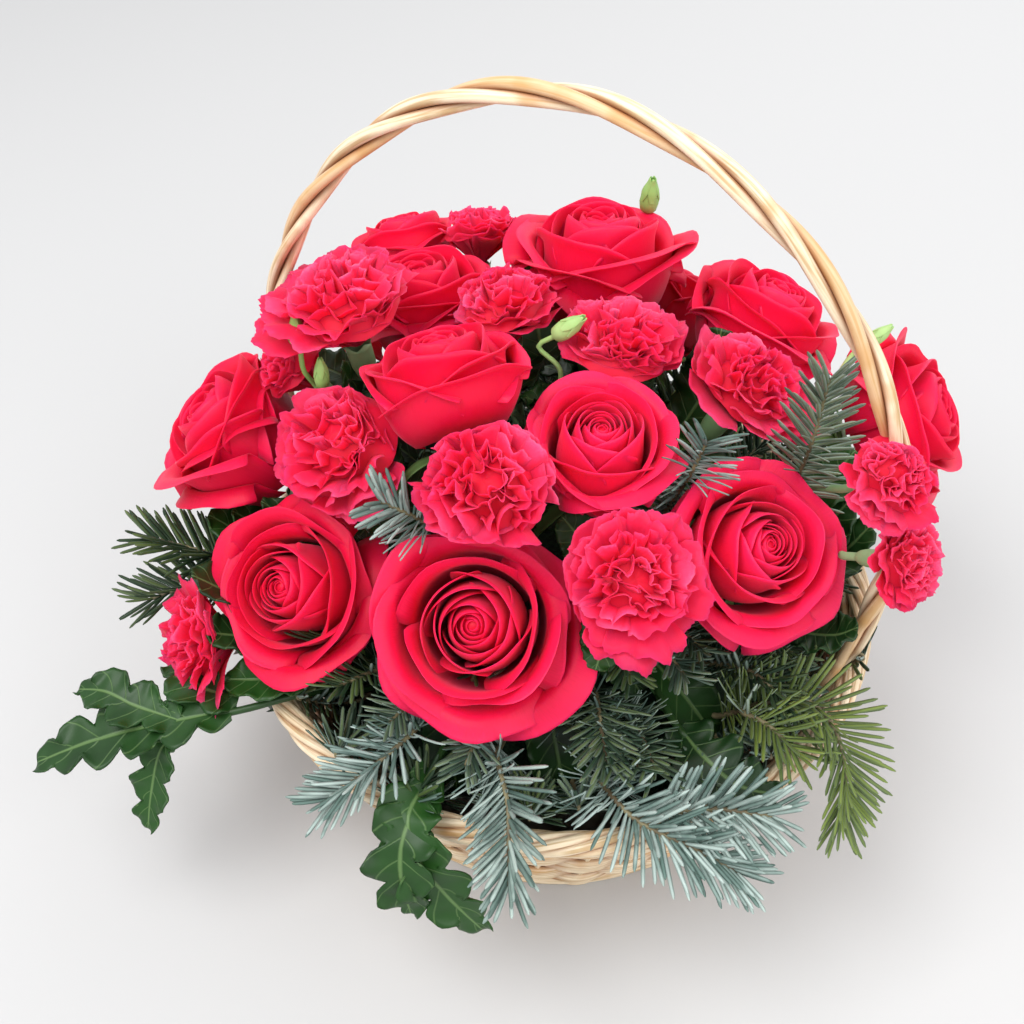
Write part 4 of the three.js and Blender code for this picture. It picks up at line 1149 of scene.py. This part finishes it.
def bud(pile, base, way, length, source):
    axis = unit(np.array(way, float))
    base, source = np.array(base, float), np.array(source, float)
    girth = length * 0.25
    cup(pile, base, axis, NECK + [(h * length, r * girth) for h, r in BUD], 14)
    route = [source, (source + base) / 2 + axis * 3, base - axis * 8, base]
    pile.grids(tube(spline(route, 16), 1.0, 7)[None], wrap=True)
    side, other = ring_about(axis, [0.2, 0.5, 0.1])
    for k in range(5):
        turn = 2 * math.pi * k / 5
        away = math.cos(turn) * side + math.sin(turn) * other
        ends = [base + axis * length * h + away * girth * r for h, r in SCALE]
        pointed_leaf(pile, ends, girth * 0.45, 0.4, away, -0.2)


buds = Pile()
for row in BUDS:
    bud(buds, *row)
bud_green = green_finish("bud_green", (0.42, 0.62, 0.24), (0.25, 0.45, 0.12))
piece("carnation_buds", buds, bud_green, slot="carnation_green")
print(len(BUDS), "buds,", triangles("carnation_buds"), "triangles")

# %% [markdown]
# ## Glossy leaves, the finish
# The dark leaves at the rim have a pale rib and side veins that run out to their lobes. The veins
# are drawn from the two notes that the blade is built on, how far along and how far across: a
# side vein comes seven times along a leaf, and slants because the distance from the rib is taken
# away first.

# %% The leaf finish
leaf_green = Finish("glossy_leaf", specular_ior_level=0.32, coat_weight=0.05, coat_roughness=0.25)
rise, across, tone = (leaf_green.note(n) for n in ("rise", "across", "tone"))
run = rise * 7.0 - across.size() * 1.1
side_vein = 1 - (run - run.maths("FLOOR", run) - 0.5).size().within(0.0, 0.07)
rib = 1 - across.size().within(0.02, 0.09)
vein = rib.maths("MAXIMUM", rib, side_vein * 0.6)
fine = leaf_green.noise(70.0, detail=3.0)
age = (fine * 0.5 + tone * 0.5).within(0.3, 0.8)
# Partly painted shade: the blade's own dark green is darkened further, nearly to black, for the
# shade deep between the flowers.
shaded_blade_green = leaf_green.mix((0.004, 0.020, 0.004), (0.013, 0.060, 0.007), age)
veined = leaf_green.mix(shaded_blade_green, (0.14, 0.24, 0.08), vein * 0.6)
leaf_green.surface(base_color=veined, roughness=0.34 + 0.25 * fine)
leaf_green.relief(vein * 0.8 + fine * 0.4, 0.5, 0.5)
print("leaf finish has", len(leaf_green.tree.nodes), "nodes")

# %% [markdown]
# ## Glossy leaves, the blades
# A blade is one grid whose width swells and narrows along the rib, which cuts the lobes, and
# whose edge has fine teeth and a wave. The lobes of the two sides are set a little off, as on
# many real leaves. Plain leaves, without lobes, come from the same function with fewer points.

# %% Cut a blade
LOBE = 15.0      # length of one lobe in mm
CUT = 0.70       # how deep the notches between lobes go, as a share of half the width


def glossy_blade(pile, rib, half, up, rng, lobed=False):
    rows, cols = (61, 15) if lobed else (41, 11)
    path = spline(rib, rows)
    ahead = unit(np.gradient(path, axis=0))
    side = unit(np.cross(ahead, unit(np.array(up, float))))
    above = np.cross(side, ahead)
    s = np.linspace(0, 1, rows)[:, None]
    u = np.linspace(-1, 1, cols)[None, :]
    width = half * np.sin(math.pi * blend(0.07, 0.95, s)) ** 0.6
    width = width * (1 - 0.07 * np.abs(np.sin(s * 34)) * np.abs(u) ** 3)
    if lobed:
        lobes = length_of(np.array(rib, float)) / LOBE
        notch = np.abs(np.cos(math.pi * (s * lobes + 0.13 * np.sign(u) - 0.25 * np.abs(u)))) ** 0.55
        width = width * (1 - CUT * (1 - notch) * np.abs(u) ** 0.5)
    wavy = 1.6 * np.sin(s * 22 + 2 * np.sign(u)) * np.abs(u) ** 3
    lift = 0.22 * width * u**2 + wavy + 0.5 * np.cos(s * 44) * np.abs(u)
    grid = path[:, None] + side[:, None] * (width * u)[..., None] + above[:, None] * lift[..., None]
    pile.sheet(grid, 0.8, rise=s, across=u, tone=rng.uniform(0.3, 1))


print("a 60 mm blade has", 60 / LOBE, "lobes")

# %% [markdown]
# ## Lobed leaves at the rim
# Three leafy stems carry the lobed leaves. The one at the left reaches far out with four blades,
# the one in front hangs over the rim, and the third fills a gap among the fir.

# %% Lay the lobed leaves
# name: bearing and tilt of the stem, side that faces up, stalk, then blades as rib, half width
LEAVES = {
    "leaf_left": (
        -120, 76, (0, -0.2, 1), [(-62, -106, 100), (-78, -122, 101), (-92, -132, 99)],
        [([(-84, -126, 101), (-110, -145, 99), (-130, -158, 93), (-148, -170, 84)], 15),
         ([(-96, -137, 98), (-103, -147, 92), (-104, -157, 78), (-104, -166, 60)], 10),
         ([(-100, -138, 100), (-118, -141, 103), (-132, -141, 104), (-144, -143, 101)], 12),
         ([(-84, -120, 102), (-97, -124, 105), (-108, -121, 106), (-117, -118, 103)], 13)]),
    "leaf_front": (
        -91, 76, (0.2, -0.9, 0.5), [(0, -106, 103), (1, -122, 104)],
        [([(1, -119, 104), (2, -140, 104), (11, -149, 94), (23, -150, 78), (35, -148, 60)], 15),
         ([(2, -126, 105), (3, -146, 101), (6, -155, 88), (10, -157, 68)], 14)]),
    "leaf_inner": (
        -38, 58, (0.2, -0.5, 1), [(74, -62, 108), (82, -68, 108)],
        [([(78, -65, 108), (94, -76, 110), (106, -78, 106), (120, -74, 103)], 15)]),
}


def leafy_stem(name, bearing, tilt, up, stalk, blades, number):
    rng = np.random.default_rng(500 + number)
    pile = Pile()
    stem = tube(spline([*footing(bearing, tilt), *stalk], 24), 1.5, 9)
    pile.grids(stem[None], wrap=True, caps=True, rise=0.0, across=0.5, tone=0.5)
    for rib, half in blades:
        glossy_blade(pile, rib, half, up, rng, lobed=True)
    return piece(f"{name}_blades", pile, leaf_green, name, slot="leaf")


for k, (name, row) in enumerate(LEAVES.items()):
    leafy_stem(name, *row, k)
print("lobed leaf triangles:", triangles("leaf"))

# %% [markdown]
# ## Noble fir, the finish
# Noble fir is dark green above and silver-blue below, some sprigs are frosted all over, and
# young ones are a fresh yellow-green. Three notes carry that: tone goes from dark to light and
# on to fresh, frost from green to silver, and rise tells the needle from the bark at its root.

# %% The fir finish
fir = Finish("fir_needles", specular_ior_level=0.4)
rise, frost, tone = (fir.note(n) for n in ("rise", "frost", "tone"))
dapple = fir.noise(120.0, detail=2.0)
green_share = (tone * 0.6 + dapple * 0.4).within(0.25, 0.9)
leafy = fir.mix((0.012, 0.034, 0.010), (0.085, 0.130, 0.030), green_share)
fresh = fir.mix(leafy, (0.15, 0.21, 0.032), tone.within(0.9, 2.1))
silver_share = (tone * 0.5 + dapple * 0.5).within(0.3, 0.75)
silver = fir.mix((0.11, 0.18, 0.155), (0.42, 0.52, 0.48), silver_share)
needle = fir.mix(fresh, silver, frost.within(0.05, 0.85))
bark = fir.mix((0.10, 0.075, 0.04), (0.22, 0.19, 0.10), dapple.within(0.35, 0.65))
twig_colour = fir.mix(bark, needle, rise.within(0.02, 0.1))
fir.surface(base_color=twig_colour, roughness=0.38 + 0.25 * dapple)
fir.relief(dapple, 0.2, 0.4)
print("fir finish has", len(fir.tree.nodes), "nodes")

# %% [markdown]
# ## What stands in a needle's way
# The petals, the handle and the border are gathered in one search tree. A ray from a needle's
# root then tells how far it can grow before it meets one of them. That keeps hundreds of needles
# out of the petals, which no rule of angles could do in so tight a bunch.

# %% Gather what stands in the way
HEADS.grids(tube(ARCH_LINE, 5.4, 10), wrap=True)
rim_turn = np.linspace(0, 2 * math.pi, 73)
HEADS.grids(tube(ring_path(RIM["radius"], RIM["height"], rim_turn), 5.2, 8), wrap=True)
guard_points, guard_quads = HEADS.joined()
GUARD = BVHTree.FromPolygons(guard_points.tolist(), guard_quads.tolist())


def clear_length(root, way, length):
    """How far something can grow from a root before it meets a petal or a rod."""
    hit = GUARD.ray_cast(Vector(root), Vector(way), length + 1.5)
    return length if hit[3] is None else hit[3] - 1.5


print("the search tree holds", len(guard_quads), "quads")

# %% [markdown]
# ## Needles on a twig
# A twig has blunt needles in two main ranks that sweep forward, and more that curve up from its
# top. They are longest near its middle. A needle is a flat blade with four corners round it and
# a blunt tip, and its underside gets more frost than its top.

# %% Grow a twig
NEEDLE, PITCH = 21.0, 1.75                  # full length, and the step between needles
RANKS = ((26, 154, 122), (6, 174, 58))      # angles round the twig, from its side over its top
STEPS = np.array([0.0, 0.12, 0.4, 0.7, 0.92, 1.0])             # places along a needle
HALF_WIDTHS = np.array([0.40, 0.70, 0.82, 0.82, 0.70, 0.25])   # half widths there, in mm
UNDERSIDE = np.array([0.3, 0.0, 0.3, 0.75])                    # extra frost at its four corners


def needles(pile, grown, frost, rng, young):
    """All needles of a twig at once, which bend a little upward."""
    roots, ways, ups, sizes = (np.array(column) for column in zip(*grown))
    flat = unit(np.cross(ways, ups))
    normal = np.cross(flat, ways)
    bend = rng.uniform(0.02, 0.14, len(roots))[:, None] * sizes[:, None]
    straight = ways[:, None] * (STEPS[:, None] * sizes[:, None, None])
    spine = roots[:, None] + straight + normal[:, None] * (STEPS[:, None] ** 2 * bend[:, None])
    across = flat[:, None] * HALF_WIDTHS[:, None]
    thick = normal[:, None] * np.minimum(0.3, HALF_WIDTHS)[:, None]
    rings = np.stack([spine + across, spine + thick, spine - across, spine - thick], 2)
    pile.grids(rings, wrap=True, rise=0.05 + 0.95 * STEPS[None, :, None],
               tone=rng.uniform(0, 1, len(roots))[:, None, None] + young,
               frost=np.clip(frost + UNDERSIDE[None, None, :], 0, 1))


def fir_twig(pile, route, up, bare, frost, rng, full=NEEDLE, young=0.0):
    path = spline(route, 60)
    ahead = unit(np.gradient(path, axis=0))
    side = unit(np.cross(ahead, unit(np.array(up, float))))
    above = np.cross(side, ahead)
    bark_tube = tube(path[1::2], np.linspace(1.5, 0.7, 60)[1::2], 7)
    pile.grids(bark_tube[None], wrap=True, rise=0.0, frost=0.0, tone=rng.uniform(0, 1))
    steps = int(length_of(path) * (1 - bare) / PITCH)
    grown = []
    for k in range(steps):
        share = (k + 0.5) / steps
        at = (bare + (1 - bare) * share) * 59
        i = min(58, int(at))
        place = blend(path[i], path[i + 1], at - i)
        size = full * blend(0.55, 1.0, math.sin(math.pi * blend(0.22, 0.86, share)))
        for rank in RANKS[k % 2]:
            sweep = math.radians(rank + rng.normal(0, 6))
            forward = math.radians(blend(62, 30, share**2.5) + rng.normal(0, 4))
            outward = side[i] * math.cos(sweep) + above[i] * math.sin(sweep)
            way = unit(ahead[i] * math.cos(forward) + math.sin(forward) * outward)
            root = place + way * 0.8
            shorter = 1 if abs(math.cos(sweep)) > 0.7 else 0.8
            length = clear_length(root, way, size * rng.uniform(0.88, 1.08) * shorter)
            if length > 5:
                grown.append((root, way, above[i], length))
    needles(pile, grown, frost, rng, young)


print("needles in 100 mm of twig:", int(100 / PITCH) * len(RANKS[0]))

# %% [markdown]
# ## Fir sprigs
# Ten sprigs fan out between the heads and over the rim. The silvery ones lie in front, and the
# fresh ones at the right. A bare share of each twig is stripped, as a florist does, so that it
# can be pushed into the foam.

# %% Grow the fir sprigs
# name: bearing and tilt of the hole, side that the needles sweep to, bare share, frost, twigs
FIRS = {
    "fir_1": (-102, 70, (-0.3, -0.5, 1), 0.3, 0.95,
              [(-10, -112, 114), (-17, -132, 113), (-27, -147, 106)], []),
    "fir_2": (-80, 70, (0.1, -1, 0.7), 0.3, 0.6,
              [(22, -108, 113), (34, -124, 113), (41, -138, 107), (45, -146, 98)], []),
    "fir_3": (-66, 64, (0.2, -0.4, 1), 0.25, 0.12,
              [(43, -68, 117), (53, -84, 121), (61, -98, 120)], []),
    "fir_4": (-56, 73, (0.3, -0.7, 1), 0.3, 0.95,
              [(60, -98, 106), (78, -109, 109), (100, -107, 102), (117, -103, 91)],
              [[(76, -107, 107), (100, -93, 108), (121, -85, 106)]]),
    "fir_5": (-26, 72, (0.6, -0.2, 1), 0.3, 0.0,
              [(104, -40, 108), (118, -36, 113), (132, -42, 109), (141, -55, 100), (144, -66, 89)],
              [[(98, -41, 102), (98, -50, 111), (109, -54, 114), (121, -59, 111)]]),
    "fir_6": (3, 47, (0.2, -1, 0.3), 0.35, 0.25,
              [(74, 6, 130), (86, 10, 160), (92, 13, 190), (93, 18, 222)], []),
    "fir_7": (-110, 26, (0.3, -0.6, 0.7), 0.55, 1.1,
              [(-20, -48, 130), (-24, -60, 158), (-23, -72, 183), (-34, -82, 198)], []),
    "fir_8": (-12, 22, (0.3, -0.6, 0.7), 0.55, 0.9,
              [(38, -4, 130), (47, -8, 160), (56, -15, 188), (61, -16, 208)], []),
    "fir_9": (-154, 74, (-0.3, -0.3, 1), 0.35, 0.0,
              [(-112, -62, 108), (-134, -72, 117), (-152, -78, 122)],
              [[(-108, -62, 104), (-128, -78, 106), (-146, -94, 102)]]),
    "fir_10": (118, 70, (-0.3, 0.6, 1), 0.3, 0.3,
               [(-54, 104, 106), (-68, 130, 108), (-82, 154, 104)],
               [[(-50, 98, 104), (-34, 128, 106), (-26, 154, 102)]]),
}
FRESH = {"fir_5": 1.0, "fir_6": 0.4}    # how much younger and yellower a sprig is


def fir_sprig(name, bearing, tilt, up, bare, frost, route, twigs, number):
    rng = np.random.default_rng(600 + number)
    pile = Pile()
    young = FRESH.get(name, 0.0)
    fir_twig(pile, [*footing(bearing, tilt), *route], up, bare, frost, rng, young=young)
    for twig in twigs:
        fir_twig(pile, twig, up, 0.15, frost, rng, young=young)
    return piece(f"{name}_sprig", pile, fir, name, slot="fir_needles")


for k, (name, row) in enumerate(FIRS.items()):
    fir_sprig(name, *row, k)
print("fir triangles:", triangles("fir"))

# %% [markdown]
# ## Fir tips that cover the foam
# A florist covers the foam first: short fir tips are pushed in low all round, more of them where
# people look. No tip hangs over the rim, because the border has to show.

# %% Cover the foam with fir tips
# first and last bearing, and how many: once round, twice more in front, once more behind
SPREADS = [(0, 360, 26), (-130, 0, 11), (-130, 0, 11), (20, 190, 14)]
TIP_TILTS = (78, 62, 46)
TIP_NEEDLE = 16                      # full length of a tip's needles
COVER_EDGE, NEAR_RIM = 120, 112      # tips end inside the one and are lifted beyond the other
cover_dice = np.random.default_rng(7)


def cover_tip(pile, bearing, tilt, rng):
    foot = footing(bearing, tilt)
    out = polar(bearing, min(88, tilt + 12))
    reach = rng.uniform(34, 46)
    middle = foot[3] + out * reach * 0.6 + np.array([0, 0, 8])
    end = foot[3] + out * reach + np.array([0, 0, rng.uniform(-2, 10)])
    end[:2] *= min(1, COVER_EDGE / np.hypot(*end[:2]))
    if np.hypot(*end[:2]) > NEAR_RIM:
        middle[2], end[2] = max(middle[2], 102), max(end[2], 104)
    frost = rng.choice([0.0, 0.1, 0.2])
    fir_twig(pile, [foot[2], foot[3], middle, end], UP, 0.2, frost, rng, TIP_NEEDLE)


cover = Pile()
spread_of_tip = [spread for spread in SPREADS for _ in range(spread[2])]
for k, (first, last, tips) in enumerate(spread_of_tip):
    bearing = blend(first, last, k / tips % 1) + cover_dice.uniform(-5, 5)
    tilt = TIP_TILTS[k % 3] + cover_dice.uniform(-4, 4)
    cover_tip(cover, bearing, tilt, cover_dice)
piece("fir_tips", cover, fir, slot="fir_needles")
print(len(spread_of_tip), "tips,", triangles("fir_tips"), "triangles")

# %% [markdown]
# ## Dark leaves between the flowers
# Plain dark leaves lie on the foam, fill the gaps between heads, and stand under each head on
# its stem, so that what shows between the flowers is deep green, nearly black as painted shade.
# A ray tells how far a leaf under a head can reach, as for the needles. Three stems stay bare,
# because there a leaf would show beside the bunch.

# %% Lay the dark leaves
LYING_LEAVES = 22
# The gaps: where a leaf starts, where its tip ends, and its half width
GAP_LEAVES = [
    ((-58, -16, 150), (-80, -26, 190), 14), ((-66, -8, 148), (-90, -15, 188), 14),
    ((-72, -14, 140), (-99, -20, 182), 13), ((-62, -52, 130), (-99, -67, 156), 9),
    ((-78, -52, 122), (-114, -68, 145), 12), ((-88, -54, 116), (-127, -68, 137), 12),
    ((84, 14, 128), (109, 34, 152), 16), ((80, 26, 138), (105, 52, 163), 14),
    ((94, 10, 124), (120, 27, 150), 13), ((104, -14, 122), (128, -13, 136), 11),
    ((-80, -80, 118), (-108, -104, 146), 13), ((-78, -88, 110), (-102, -112, 124), 12),
    ((-2, 40, 168), (-2, 60, 206), 14), ((36, 30, 160), (44, 52, 204), 13),
    ((-26, 40, 170), (-40, 56, 206), 14), ((-58, -96, 107), (-92, -117, 105), 12),
]
BARE_STEMS = ("carnation_8", "carnation_9", "rose_9")


def lying_leaf(pile, number, rng):
    bearing = 360 * number / LYING_LEAVES + rng.uniform(-6, 6)
    low, high = ((52, 84), (30, 62))[number % 2]
    half = rng.uniform(11, 15)
    rib = []
    for share in (0, 0.33, 0.67, 1):
        tilt = blend(low, high, share)
        height = foam_top(tilt) + 5 + 6 * math.sin(math.pi * share)
        rib.append(FOCUS + polar(bearing + 8 * share, tilt) * height)
    glossy_blade(pile, rib, half, UP, rng)


def gap_leaf(pile, start, tip, half, rng):
    start, tip = np.array(start, float), np.array(tip, float)
    middle = (start + tip) / 2 + unit(start * [1, 1, 0]) * 5
    glossy_blade(pile, [start, middle, tip], half, UP, rng)


def stem_leaves(pile, flower, depth, rng):
    node = flower["face"] - flower["axis"] * (depth * flower["radius"] + 24)
    side, other = ring_about(flower["axis"], [0.3, 0.2, 0.1])
    for turn in rng.uniform(0, 2 * math.pi) + np.array([0.0, 2.1, 4.2]):
        way = unit(math.cos(turn) * side + math.sin(turn) * other + 0.25 * flower["axis"])
        length = clear_length(node, way, 34)
        if length > 14:
            rib = [node + way * length * share for share in (0.08, 0.5, 1.0)]
            glossy_blade(pile, rib, 0.3 * length, flower["axis"], rng)


dark = Pile()
for k in range(LYING_LEAVES):
    lying_leaf(dark, k, cover_dice)
for row in GAP_LEAVES:
    gap_leaf(dark, *row, cover_dice)
for name, flower in flowers.items():
    if name not in BARE_STEMS:
        stem_leaves(dark, flower, ROSE_DEPTH if name in ROSES else CARNATION_DEPTH, cover_dice)
piece("collar_leaves", dark, leaf_green, slot="leaf")
print("dark leaf triangles:", triangles("collar"))

# %% [markdown]
# ## Liner and foam
# Both keep the imported part's own shape and get their finishes: a thin dark film, and wet
# foam whose green is darkened almost to black as painted shade under the leaves.

# %% Finish the liner and the foam
film = Finish("liner_film", specular_ior_level=0.5)
creases = film.noise(40.0, detail=4.0)
film_colour = film.mix((0.012, 0.016, 0.012), (0.035, 0.045, 0.035), creases.within(0.3, 0.7))
film.surface(base_color=film_colour, roughness=0.22 + 0.3 * creases)
film.relief(creases, 1.0, 0.6)
shaded_wet = Finish("wet_shaded_foam", specular_ior_level=0.3)
pores = shaded_wet.noise(700.0, detail=2.0)
# Painted shade: the wet foam's green is darkened almost to black, as it lies under the leaves.
shaded_foam_colour = shaded_wet.mix((0.006, 0.016, 0.008), (0.02, 0.045, 0.02), pores.within(0.35, 0.65))
shaded_wet.surface(base_color=shaded_foam_colour, roughness=0.75 + 0.2 * pores)
shaded_wet.relief(pores, 0.5, 0.8)
for node, finish in (("liner", film), ("floral_foam", shaded_wet)):
    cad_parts[node].data.materials.clear()
    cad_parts[node].data.materials.append(finish.material)
print("the liner and the foam have their finishes")

# %% [markdown]
# ## The floor and the light
# A pale floor, a pale world and three large soft lights, as in a packshot. The world's even
# light keeps the shadows between the petals open.

# %% Floor and light
bpy.ops.mesh.primitive_plane_add(size=6, location=(0, 0, 0))
floor = bpy.context.object
floor.name = "studio_floor"
pale = Finish("studio_paper", base_color=(0.52, 0.52, 0.52), roughness=0.9)
floor.data.materials.append(pale.material)

world = bpy.data.worlds.new("studio_air")
bpy.context.scene.world = world
world.use_nodes = True
air = world.node_tree.nodes["Background"]
air.inputs["Color"].default_value = (0.945, 0.95, 0.965, 1.0)
air.inputs["Strength"].default_value = 0.885

# name: place and width in metres, power in watts
LIGHTS = {
    "key_light": ((-0.35, -0.6, 1.35), 0.9, 17),
    "fill_light": ((1.1, -0.5, 1.0), 1.2, 10.5),
    "back_light": ((0.2, 1.1, 0.9), 1.0, 6.5),
}
LIT = Vector((0, 0, 0.12))    # the point that the lights face


def soft_light(name, place, size, power):
    lamp = bpy.data.lights.new(name, "AREA")
    lamp.energy, lamp.size = power, size
    made = bpy.data.objects.new(name, lamp)
    bpy.context.scene.collection.objects.link(made)
    made.location = place
    made.rotation_euler = (LIT - Vector(place)).to_track_quat("-Z", "Y").to_euler()


for name, row in LIGHTS.items():
    soft_light(name, *row)
print(len(LIGHTS), "lights")

# %% [markdown]
# ## The camera
# The camera stands where the photograph was taken from: close, high and a little to the right.
# It was fitted to the rim, the foot and the handle, whose shapes are the plainest in view.

# %% The camera
CAMERA = dict(azimuth=25.0, elevation=46.0, distance=0.545, target=(-0.022, 0.0, 0.121), lens=45.0)
view = bpy.data.cameras.new("camera")
view.lens, view.sensor_width = CAMERA["lens"], 36.0
camera = bpy.data.objects.new("camera", view)
bpy.context.scene.collection.objects.link(camera)
bpy.context.scene.camera = camera
azimuth, elevation = math.radians(CAMERA["azimuth"]), math.radians(CAMERA["elevation"])
level = math.cos(elevation)
back = Vector((math.sin(azimuth) * level, -math.cos(azimuth) * level, math.sin(elevation)))
camera.location = Vector(CAMERA["target"]) + CAMERA["distance"] * back
camera.rotation_euler = back.to_track_quat("Z", "Y").to_euler()
bpy.context.scene.view_settings.view_transform = "Standard"
print("camera at", [round(x, 3) for x in camera.location])

# %% [markdown]
# ## The triangles in all
# The finer model is meant to stay inside the imported part's box, give or take a little for
# petals. Here only its triangles are added up.

# %% Count the triangles in all
print("triangles in all:", triangles())
